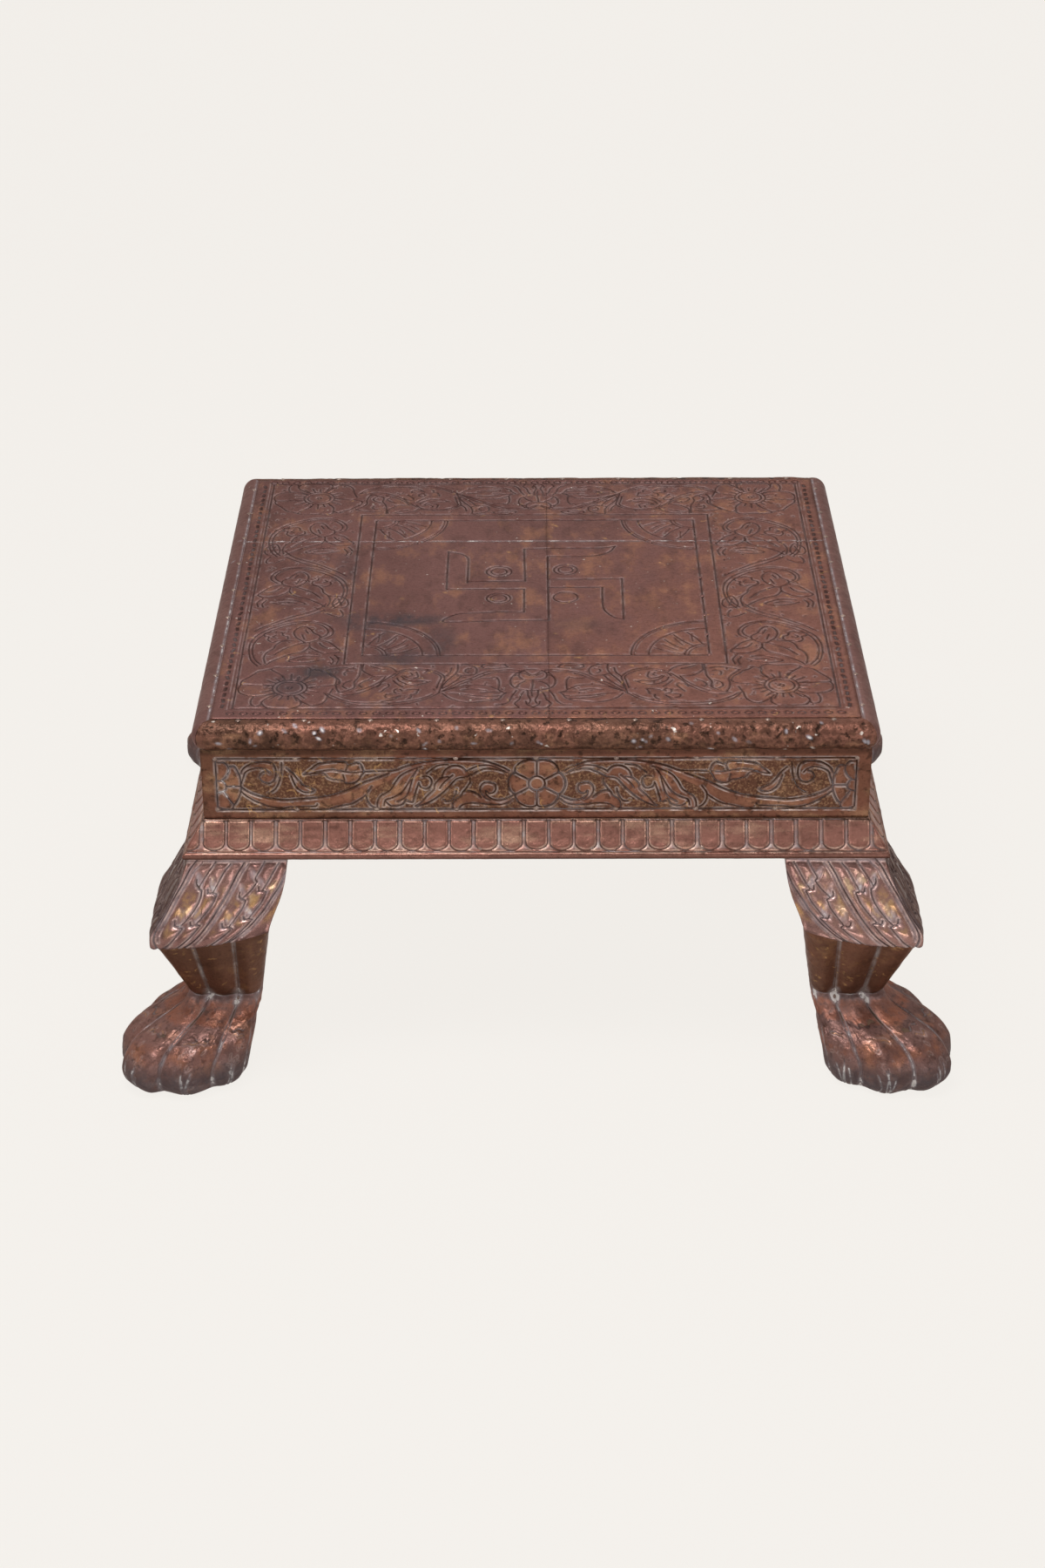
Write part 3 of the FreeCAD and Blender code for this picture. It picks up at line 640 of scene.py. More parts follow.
# %% The lines of the front band
FRONT_BAND = [
    [(4, -134.2), (8.3, -132.2), (15, -131.8), (26.7, -134.2), (32.5, -137.6), (40.8, -145.5), (48.3, -151.3),
     (60, -164.7)],
    [(0, -141.3), (4.2, -137.2), (10, -135.1), (21.7, -135.1), (28.3, -138), (38.3, -146.3), (50.8, -157.2),
     (58.5, -164.5)],
    [(62, -167.3), (60.7, -158), (59.5, -150), (58.7, -142.7), (62.7, -136), (69.3, -131.3), (77.3, -130.3),
     (85.3, -131.3), (91.3, -134.7)],
    [(63.5, -160), (62, -150), (60.9, -142.7), (64.3, -137.6), (70.6, -133), (77.5, -132.2), (86.5, -134),
     (90.7, -137.3), (93, -142)],
    [(61, -166.5), (69.3, -175.3), (80, -182), (93.3, -184.8), (107, -185.4), (120, -183.4), (133.3, -175.6),
     (139.3, -166.7)],
    [(66, -169), (72, -174.5), (81, -179), (93, -181.6), (113.3, -181.5), (124, -178.9), (132, -173),
     (137.3, -167.5)],
    [(88, -170.7), (92, -176.7), (100, -180)],
    # The cut leaf under the first arch
    [(24.7, -159.3), (29, -156), (37, -155), (45, -156), (53, -160.7), (59, -164.7)],
    [(59, -168), (54.7, -174.7), (48, -179.3), (40, -181.3), (32, -179.6), (24.7, -178.7)],
    [(16, -166.7), (24, -165.6), (33.3, -167)],
    [(20, -171.3), (29, -171.8), (38.7, -170.7), (47, -168.2), (54, -167.4)],
    [(22.7, -176), (32, -175.2), (40, -173.6), (46, -171)],
    [(30, -163.5), (38, -161.2), (46, -162.4)],
    [(16, -166.7), (18.5, -170), (20.5, -175.3), (24.7, -178.7)],
    [(24.7, -159.3), (21.5, -162), (20, -164.6), (16, -166.7)],
    [(21.3, -161), (20.8, -153), (21.3, -147.2), (23.3, -143.2), (26.7, -144.7), (33.3, -144.6)],
    # Buds over the arch
    [(15.3, -127.5), (18, -123.6), (24, -122.2), (31, -123.4), (33.3, -126), (31.5, -129), (25.3, -129.6),
     (17.3, -128.8), (15.3, -127.5)],
    [(20, -126.5), (26, -125.3), (30, -126.2)],
    [(50.7, -138.5), (44, -140.4), (38, -138.9), (36.6, -132), (38.6, -127), (43, -124.2), (49, -122.6)],
    [(40.5, -129.8), (43.6, -131), (44.5, -134.4), (42.3, -137)],
    [(49.8, -123), (49.6, -131), (51.4, -138), (55.6, -146), (59, -154), (60, -159)],
    [(54, -128.5), (55.2, -136), (58.5, -142)],
    [(46.7, -140.4), (50.7, -148.7), (56, -156), (59.5, -160.5)],
    # Inside the round loop
    [(78, -135), (77, -138.7), (76.7, -142.7), (80, -144.7), (84, -143.6), (86.5, -140.7)],
    [(82, -136), (80.5, -139.4), (82.7, -141.5)],
    [(91, -143.5), (89.3, -148.7), (84, -153.3), (78.7, -154.7), (72.7, -152.7), (68, -149.5)],
    [(88, -141.5), (85, -146.5), (80, -149.3), (73.5, -148.6), (69, -150)],
    [(86.7, -158), (90, -154), (93.5, -148)],
    [(76, -164), (76, -161.4), (80, -161.2), (84, -162.7)],
    [(76.6, -164.5), (77.3, -168.5), (80.7, -169.7), (80.4, -173.4), (83, -177)],
    [(86.7, -164), (88.7, -160.7), (92, -162), (91.6, -166.4), (88.3, -168.5)],
    [(93.5, -168.6), (97.6, -169.6), (97.6, -173.4), (93.3, -174.4), (88, -171.5)],
    # The large leaf in the low sweep
    [(91.5, -134.7), (94, -130), (97.5, -127), (102, -124.8), (108, -123.6)],
    [(92.5, -137.3), (97, -143.5), (101, -150), (104, -155.5), (111, -163), (118.5, -168), (125.5, -169.6),
     (132, -167.3)],
    [(99, -141.8), (101.5, -148), (106.5, -154.5), (113.5, -161), (118, -163.8)],
    [(100, -131), (105, -128.8), (110, -125.5)],
    [(101, -142), (107, -141.3), (111.8, -137.2), (115.4, -131.5), (115, -123.6)],
    [(110, -147), (114, -150), (116.6, -154.5), (114.5, -158.5)],
    [(116.5, -123.6), (116.6, -132.7), (117.3, -142), (120, -150), (119.6, -158.5), (125, -163.5),
     (130, -166)],
    [(120, -129.6), (126.7, -128), (134.7, -129.6), (140.7, -132.4)],
    [(122, -134), (125, -133), (127.6, -136), (126.8, -140)],
    [(122, -148), (126.5, -151.5), (127.6, -156.5), (124.5, -160.5)],
    [(140, -133), (135, -139.5), (132.3, -145), (132.6, -152), (131.6, -160), (129.3, -166)],
    [(104, -158), (101.5, -154), (97.5, -152.5), (96, -156), (98.5, -160.5), (101, -165)],
]
LOTUS = [
    [(-2, -131.3), (-6, -131.8), (-9.2, -133.4), (-11.2, -137), (-11.7, -140.5), (-10.8, -144),
     (-8.3, -146.8),
     (-2, -147.7)],
    [(-2, -140), (-4.2, -138.8), (-6.7, -135.5), (-8.6, -134)],
    [(-13, -140.2), (-16.3, -143), (-17.5, -148.8), (-16.7, -154.7), (-14.4, -159.3), (-9.5, -161.9),
     (-5, -163.2),
     (-2, -163.8)],
    [(-7, -149.3), (-10.8, -153), (-13.3, -158)],
    [(-9.5, -134), (-13.4, -137.5), (-16, -142.8)],
    [(-8.3, -165.5), (-10.2, -171), (-11.2, -177), (-14.2, -183), (-11.6, -188.5)],
    [(-6.7, -179.7), (-5.8, -184.7), (-2, -188.3)],
    [(-5.6, -164), (-5.2, -171), (-3.6, -178), (-4.8, -183)],
    [(-13.2, -163.6), (-16, -171), (-17.8, -178.5), (-21, -183.4), (-27, -185.2)],
]
LOTUS_STALK = [(-2, -148.6), (-2.2, -156), (-3, -164), (-2.6, -172)]

# %% [markdown]
# One loop of the vine beside the middle square, with a bud and leaves. It is repeated up the side.

# %% The lines of the side vine
SIDE_LOOP = [
    [(192, -126.7), (196.7, -118.7), (199.3, -108), (200.3, -97.3), (199.6, -88), (196.7, -78.7),
     (190, -69.3),
     (180.7, -61.3), (171.3, -56.4), (162, -54.7), (152.7, -57.3), (146.7, -62.7), (143.3, -70), (144, -77.3),
     (148.6, -82.6)],
    [(190, -124.5), (194.4, -117), (197, -107.5), (197.8, -97.3), (196.8, -88.5), (193.6, -80),
     (187.5, -71.6),
     (178.6, -64), (170, -59.2), (162, -57.1), (154, -59.5), (148.9, -64.8), (146.2, -71.5), (147.8, -78),
     (151.5, -81.5)],
    [(198.6, -71), (190, -61.5), (180.7, -53.3), (172.7, -46.7), (162, -40), (155.3, -33.4), (150.6, -26)],
    [(186, -62), (176, -54), (166, -47.6), (158, -42), (151.5, -35.6)],
    # The bud and the leaves that hang on the loop
    [(152, -84), (152, -78.7), (156.3, -74.7), (159.3, -68), (164, -63.4), (168.7, -66.7), (170.7, -73.3),
     (168.7, -81.3), (164.7, -86.7), (160.7, -90), (155.3, -87.3), (152, -84)],
    [(160.2, -75), (162.6, -69)], [(162.4, -84.5), (164.6, -76.5)],
    [(151.3, -85.3), (144.7, -89.3), (139.3, -97.3), (136, -103.5), (140.7, -106.6), (148.7, -106),
     (154, -102),
     (158, -97), (158.4, -91)],
    [(140.6, -99.5), (145, -98.7), (149, -95.5), (151.6, -90.5)],
    [(162, -89.3), (171.3, -96), (176.7, -101.3), (182, -109.3)],
    [(170, -86), (178, -88), (182, -93.3), (183.3, -99.3), (187.3, -105.3), (188.8, -113.3), (187.3, -122.7)],
    [(158, -96), (162, -104), (171.3, -109.3), (178, -114.7), (183.3, -120), (186, -124)],
    [(174, -84), (174.6, -79.8), (178, -78), (178.7, -73.6), (183, -71.8), (186.5, -73.4), (191, -74.6),
     (190.5, -79), (187.4, -80.4), (188, -84.6), (184.6, -88.6), (180.5, -86.6), (177, -86.3), (174, -84)],
    [(183, -77.6), (185, -80.2), (182.6, -82)],
    [(140, -109.3), (136.7, -116), (138, -124)], [(142.7, -112.5), (140.2, -118.5), (141.4, -124.5)],
    [(150, -112), (158, -110.7), (164.7, -113.3), (171.3, -118.7), (163, -121.3), (154, -119.8),
     (147, -116.6)],
    [(152, -116), (160, -115.4), (165, -117.8)],
    # A small leaf in the gap on the other side of the stem
    [(135.3, -20), (138, -16), (142.7, -12.9), (146, -22.7), (144.7, -30.7), (138, -32.2), (134.8, -26.7),
     (135.3, -20)],
    [(139.4, -28), (141, -22), (142.4, -17)],
    [(140, -36), (137.6, -42), (138.3, -47.5), (144, -46.2), (149.5, -41.5)],
]

# %% [markdown]
# The flower of a corner has wide petals round a centre with short rays.

# %% The lines of a corner flower
FLOWER = (167.5, -156.5)
PETALS = [
    [(158.7, -143.3), (155.3, -138), (155.3, -131.3), (155.4, -127), (160, -124.2), (169, -125.4),
     (177, -124.6),
     (182.4, -127.3), (178.7, -132.7), (174.7, -137.3), (172.9, -141.6)],
    [(182.4, -127.3), (187, -129.8), (190.7, -131.3), (196, -139.3), (200.8, -146), (201, -151),
     (194, -151.7),
     (186, -152.8), (180.5, -152)],
    [(201, -151), (202.5, -157), (201, -163.6), (196, -167.5), (189.5, -168.6), (181.5, -167.4),
     (176.7, -164.8)],
    [(176.7, -167.3), (181.3, -171.3), (184.7, -176.7), (185.3, -182), (188, -183.8), (191.3, -182),
     (192.4, -176),
     (191, -169)],
    [(176.3, -186.4), (169, -187), (162.5, -186), (158.6, -181.5), (158.9, -175.6)],
    [(138, -158), (140.7, -167.3), (142, -175.3), (145.3, -180.7), (150.7, -182.7), (154.7, -180),
     (158.9, -175.3),
     (161.6, -170.6)],
    [(146.6, -132), (142.5, -134.4), (140, -138), (135, -143.3), (134, -150), (138.7, -152.7), (146.7, -154),
     (154, -155.3)],
    [(155.3, -131.3), (151, -128), (146.6, -132)],
    [(184.7, -180), (181.6, -185.4), (176.3, -186.4)],
]

# %% [markdown]
# The sign is drawn as a wide ribbon, so that each arm has two outlines. Rings fill its quarters.

# %% The sign, the fans and the frames
SIGN = [
    [(-8, 72), (20, 73), (50, 73.4), (60, 76.5)], [(10, 58), (32.5, 58), (45, 59.4), (51.5, 62.5), (56.5, 68),
                                                     (60, 76.5)],
    [(-8, 72), (-7.7, 44), (-7.2, 14)], [(-8, 0.5), (-7.8, -20), (-8, -39)],
    [(9.6, 58), (9.6, 4), (9.8, -52.5)],
    [(-64.4, 67.5), (-64.6, 34), (-64.4, 0)], [(-49.5, 11.5), (-49.4, 34), (-49.6, 54), (-52.5, 60.5),
                                               (-57.5, 64.4), (-64.4, 67)],
    [(-64.4, 0), (-36, 0.4), (-8, 0.5)], [(-49.5, 13.6), (-28, 14), (-7.2, 14.4)],
    [(9.6, 17.6), (38, 17.4), (63.6, 18.4)], [(9.6, 3.2), (30, 3), (49, 3.4)],
    [(49, 3.4), (48.6, -14), (48.9, -31), (51.3, -40), (56.3, -47.5), (62.8, -51)],
    [(63.7, 18.6), (63.4, -16),
                                                                                    (63, -51)],
    [(-8, -39), (-23.8, -38.3), (-38.8, -39.8), (-52.5, -41), (-60, -45), (-65.4, -51), (-66, -55)],
    [(-66, -55), (-48.8, -54.8), (-23.8, -53), (9.8, -52.5)],
]
SIGN_RINGS = [((-26.5, 31), 9.3), ((-26.5, 31), 5.8), ((-26.5, -15.5), 8.6), ((-26.5, -15.5), 5.8),
              ((22.5, 34), 8.6), ((22.5, 34), 5.4), ((22, -14), 8.8)]
FRAME_OUT = (-132.6, 132.6, -122.6, 136.2)
FRAME_IN = (-121.0, 121.0, -109.2, 125.6)
BORDER = (-204.5, 204.5, -189.5, 196.5)
FAN_RIBS = [[(17, 0.12), (27, 0.16), (40, 0.3)], [(17, 0.5), (28, 0.56), (39, 0.68)],
            [(17, 0.95), (28, 0.9), (40, 0.94)], [(17, 1.36), (28, 1.28), (39, 1.2)]]
FAN_ARCS = [(54.5, 2.1), (52.4, 0.9), (42.3, 1.7), (17.2, 1.5), (14.6, 1.3)]


def moved(lines, place):
    """The same lines, with every point put through place(x, y)."""
    return [[place(x, y) for x, y in line] for line in lines]


def box_lines(low_x, high_x, low_y, high_y):
    corners = [(low_x, low_y), (high_x, low_y), (high_x, high_y), (low_x, high_y), (low_x, low_y)]
    return [list(pair) for pair in zip(corners, corners[1:])]


def fan(corner_x, corner_y, way_x, way_y):
    """A quarter fan in a corner of the inner frame, opening inwards."""
    def at(radius, turn):
        return corner_x + way_x * radius * math.cos(turn), corner_y + way_y * radius * math.sin(turn)
    arcs = [([at(radius, k * math.pi / 40) for k in range(21)], width) for radius, width in FAN_ARCS]
    ribs = [([at(*p) for p in rib], 1.7) for rib in FAN_RIBS]
    leaves = [([at(24 + 4 * k, turn + 0.05 * k) for k in range(4)], 1.2) for turn in (0.33, 0.72, 1.12)]
    return arcs + [(smooth(rib), width) for rib, width in ribs + leaves]


# %% [markdown]
# Now the tools go over the sheet in a fixed order: vines, sign, rings, fans, frames and punches. Then
# come stray marks and hammer blows. A little random drift keeps the lines from being ruler straight.

# %% Chasing the top
field_low = (-HALF_X + NOSE_LAP, -HALF_Y + NOSE_LAP)
field_high = (HALF_X - NOSE_LAP, HALF_Y - NOSE_LAP)
top_field = Relief(field_low, field_high, 0.3)
top_field.swells = True
wobble = np.random.default_rng(11)


def by_hand(line, step=1.2, shake=0.25):
    """A smooth line with the small unevenness of handwork."""
    points = smooth(line, step)
    return points + np.cumsum(wobble.normal(0, shake / 6, points.shape), 0) * 0.5


top_lines = []
band = FRONT_BAND + moved(FRONT_BAND, lambda x, y: (-4 - x, y)) + LOTUS
band += moved(LOTUS, lambda x, y: (-4 - x, y)) + [LOTUS_STALK]
top_lines += band
top_lines += moved(band, lambda x, y: (x * 0.99 + 5, 14.4 - 0.9 * y + 13.5))
for middle_y, way in ((0, 1), (93, -1), (184, 1)):
    loop = moved(SIDE_LOOP, lambda x, y: (168.5 + way * (x - 168.5), y + middle_y))
    loop = [line for line in loop if max(y for x, y in line) < 138]
    top_lines += loop + moved(loop, lambda x, y: (-x, y + 1.5))
flower = list(PETALS)
for turn in range(20):
    angle = turn * math.pi / 10
    reach = 17.6 + 1.6 * (turn % 3)
    flower.append([(FLOWER[0] + r * math.cos(angle), FLOWER[1] + r * math.sin(angle)) for r in (12.8, reach)])
flower_rings = [(FLOWER, 8.8), (FLOWER, 11.8), (FLOWER, 1.6)]
top_rings = []
for place in (lambda x, y: (x, y), lambda x, y: (-x, y - 2.5), lambda x, y: (x, 13 - y), lambda x,
              y: (-x, 13 - y)):
    top_lines += moved(flower, place)
    top_rings += [(place(*middle), radius) for middle, radius in flower_rings]
for line in top_lines:
    top_field.chase(by_hand(line), 2.0, 0.9)
for line in SIGN:
    top_field.chase(by_hand(line, shake=0.15), 2.2, 1.0)
for middle, radius in SIGN_RINGS + top_rings:
    top_field.chase(ring(middle, radius), 1.9, 0.95)
for corner_x, way_x in ((FRAME_IN[0], 1), (FRAME_IN[1], -1)):
    for corner_y, way_y in ((FRAME_IN[2], 1), (FRAME_IN[3], -1)):
        for line, width in fan(corner_x, corner_y, way_x, way_y):
            top_field.chase(line, width, 0.9)
for low_x, high_x, low_y, high_y in (FRAME_OUT, FRAME_IN, BORDER):
    for line in box_lines(low_x, high_x, low_y, high_y):
        top_field.chase(by_hand(line, 6, 0.5), 2.0, 1.0)
for line in box_lines(BORDER[0] - 1.9, BORDER[1] + 1.9, BORDER[2] - 1.9, BORDER[3] + 1.9):
    top_field.chase(by_hand(line, 6, 0.3), 1.2, 0.6)
top_field.swells = False
for k in range(47):
    for y in (-197.2, 200.6):
        top_field.chase(ring(((k - 23) * 8.9, y), 2.1, 1.2, 0.7), 2.0, 1.0)
for k in range(45):
    sway = wobble.normal(0, 0.3)
    for x in (-211, 211):
        punch = [(x + sway, -188.2 + k * 8.6), (x - sway, -184.4 + k * 8.6)]
        top_field.chase(punch, 4.6, 1.2)
top_field.swells = True
for x, y in wobble.uniform(field_low, field_high, (900, 2)):
    if not (FRAME_OUT[0] < x < FRAME_OUT[1]
            and FRAME_OUT[2] < y < FRAME_OUT[3]) and abs(x) < 205 and abs(y) < 193:
        way, long = wobble.uniform(0, math.pi), wobble.uniform(0.8, 2.6)
        top_field.chase([(x, y), (x + long * math.cos(way), y + long * math.sin(way))], 1.2, 0.8)
hammer(top_field, field_low, field_high, 900, (4, 11), (0.03, 0.1), 3)
hammer(top_field, field_low, field_high, 500, (1.2, 2.6), (0.04, 0.12), 4)
top_marks = Relief(field_low, field_high, 0.3)
for stroke in scratches(np.random.default_rng(5), field_low, field_high, 130, (2, 6), 1.8):
    top_marks.chase(smooth(stroke, 0.8), 1.1, 0.7)
print("lines on the top:", len(top_lines))

# %% [markdown]
# Four sheets meet at two seams. Each is cut from the same height map, so that the lines run on
# across the seams. A line is half a millimetre deep, nearly the thickness of the sheet.

# %% The four sheets of the top
GAP = 0.02
top_field.ground[:] = 0
top_height = np.clip(top_field.lift + 0.35 * pillow(top_field.near, 4) - 0.8 * top_field.line, -0.55, 0.6)
across = field_low[0] + np.arange(top_field.size[0])[:, None] * top_field.pitch
back = field_low[1] + np.arange(top_field.size[1])[None, :] * top_field.pitch
STAINS = [((-100, -52), (32, 9), 1.0), ((-122, -55), (13, 13), 0.8), ((-88, -113), (26, 11), 0.7),
          ((-66, -86), (9, 20), 0.6), ((-150, -136), (14, 9), 0.9), ((-168, -150), (12, 18), 0.7),
          ((-138, 40), (8, 26), 0.4), ((30, -60), (20, 10), 0.3), ((-110, -80), (10, 26), 0.45)]
stain = np.zeros(top_field.size)
for middle, reach, strength in STAINS:
    off = np.hypot((across - middle[0]) / reach[0], (back - middle[1]) / reach[1])
    stain = np.maximum(stain, strength * np.clip(1.6 - off, 0, 1))
seam = np.clip(1.3 - np.abs(back - SEAM_Y) / 0.8, 0, 1) + 0 * across
tone = np.clip(0.15 + (across + 120) / 420 - (back + 60) / 900, 0, 1)
tone = np.where((across < SEAM_X) & (back < SEAM_Y), tone * 0.6, tone)
for name, (sign_x, sign_y) in CORNERS.items():
    low = (field_low[0] if sign_x < 0 else SEAM_X + GAP, field_low[1] if sign_y < 0 else SEAM_Y + GAP)
    high = (SEAM_X - GAP if sign_x < 0 else field_high[0], SEAM_Y - GAP if sign_y < 0 else field_high[1])
    piece = flat_sheet(f"chased_sheet_{name}", top_field, top_height, low, high,
                       lambda u, v, h: np.stack([u, v, TOP_Z + h], 1), fine=0.64,
                       extra={"stain": stain, "tone": tone, "scratches_and_sheen": top_marks.line, "haze": seam})
    settle(piece, f"top_sheet_{name}", TOP_COPPER)

# %% [markdown]
# The rest of the copper is bent round wood, so it isn't laid through a flat map. Each piece is a
# grid of points on its outer face, pushed in or out along the surface by the same kind of relief,
# and a coarser grid one sheet thickness inside. Walls along the borders close the two into a shell.

# %% Bent shells
STRIDE = 4  # fine places of an outer face to one of the inner face


def facing(points, around, middle):
    """Unit normals of a grid of points, turned away from its middle."""
    def across(axis, wrap):
        if wrap:
            return np.roll(points, -1, axis) - np.roll(points, 1, axis)
        return np.gradient(points, axis=axis)
    normal = np.cross(across(0, False), across(1, around))
    normal /= np.maximum(np.linalg.norm(normal, axis=2, keepdims=True), 1e-9)
    return -normal if np.sum(normal * (points - middle)) < 0 else normal


def shell(name, outer, inner, layers, stride=STRIDE, around=False):
    """A closed thin shell from a fine outer grid and an inner grid stride times coarser."""
    fine = np.arange(outer.shape[0] * outer.shape[1]).reshape(outer.shape[:2])
    coarse = fine.size + np.arange(inner.shape[0] * inner.shape[1]).reshape(inner.shape[:2])
    if around:
        fine = np.hstack([fine, fine[:, :1]])
        coarse = np.hstack([coarse, coarse[:, :1]])
    faces = []
    for grid, way in ((fine, 1), (coarse, -1)):
        four = np.stack([grid[:-1, :-1], grid[1:, :-1], grid[1:, 1:], grid[:-1, 1:]], -1).reshape(-1, 4)
        faces += four[:, ::way].tolist()
    borders = [(fine[0], coarse[0]), (fine[-1][::-1], coarse[-1][::-1])]
    if not around:
        borders += [(fine[::-1, 0], coarse[::-1, 0]), (fine[:, -1], coarse[:, -1])]
    walls = []
    for edge, low in borders:
        walls += [[int(v) for v in edge[k * stride:(k + 1) * stride + 1]] + [int(low[k + 1]), int(low[k])]
                  for k in range(len(low) - 1)]
    points = np.vstack([outer.reshape(-1, 3), inner.reshape(-1, 3)])
    _, first, same = np.unique(np.round(points, 3), axis=0, return_index=True, return_inverse=True)
    same = same.reshape(-1)
    kept, count = [], len(faces)
    flat = 0
    for place, face in enumerate(faces + walls):
        face = [int(same[v]) for v in face]
        face = [v for k, v in enumerate(face) if v != face[k - 1]]
        if len(face) > 2:
            kept.append(face)
            flat += place >= count
    layers = {key: np.append(values.reshape(-1), np.zeros(inner.shape[0] * inner.shape[1]))[first]
              for key, values in layers.items()}
    piece = make_mesh(name, points[first], kept, layers, flat_faces=flat)
    mesh = piece.data
    mesh.calc_loop_triangles()
    corners = np.zeros(len(mesh.loop_triangles) * 3, np.int32)
    mesh.loop_triangles.foreach_get("vertices", corners)
    a, b, c = points[first][corners.reshape(-1, 3)].transpose(1, 0, 2)
    if np.sum(a * np.cross(b, c)) < 0:
        mesh.flip_normals()
    return piece


def turned(points, side):
    """Points of the front side, turned to another side of the table."""
    turn = math.radians(SIDE_TURNS[side])
    x, y, z = points[..., 0], points[..., 1], points[..., 2]
    return np.stack([x * math.cos(turn) - y * math.sin(turn), x * math.sin(turn) + y * math.cos(turn), z], -1)


# %% [markdown]
# The edge strips wrap the rounded edge of the board, from a narrow lap on the top face round to the
# friezes. Years of knocks have left them covered in small dents. Pale spots among them stand partly
# for bright scale and partly for painted glints on dent facets. Painted shade darkens their lower
# edge, and on the front and back strips also the dents and the upper band. There the lower half is
# stippled darker, partly as painted shade and partly as golden crinkle.

# %% Edge strips
ROUND = BOARD_THICKNESS / 2  # radius of the rounded edge


def nose_places(half_x, half_y, along, angle, lap, inset):
    """Points of the front edge strip.

    along runs from -1 to 1 and past the ends into the ball corners, where its excess is the turn.
    angle goes from the crest over the outside, and lap is how far in the flat laps reach."""
    straight = half_x - ROUND
    out = (ROUND - inset) * np.sin(angle)
    height = (ROUND - inset) * np.cos(angle)
    turn = np.clip(np.abs(along) - 1, 0, 1) * math.pi / 4
    x = np.where(lap > 0, np.clip(np.abs(along), 0, 1) * (straight - lap),
                 np.clip(np.abs(along), 0, 1) * straight + out * np.sin(turn))
    y = np.where(lap > 0, lap, -out * np.cos(turn)) - (half_y - ROUND)
    z = np.where(lap > 0, np.where(angle < 1, ROUND - inset, inset - ROUND), height)
    return np.stack([np.sign(along) * x, y, z + BOARD_LOW + ROUND], -1)


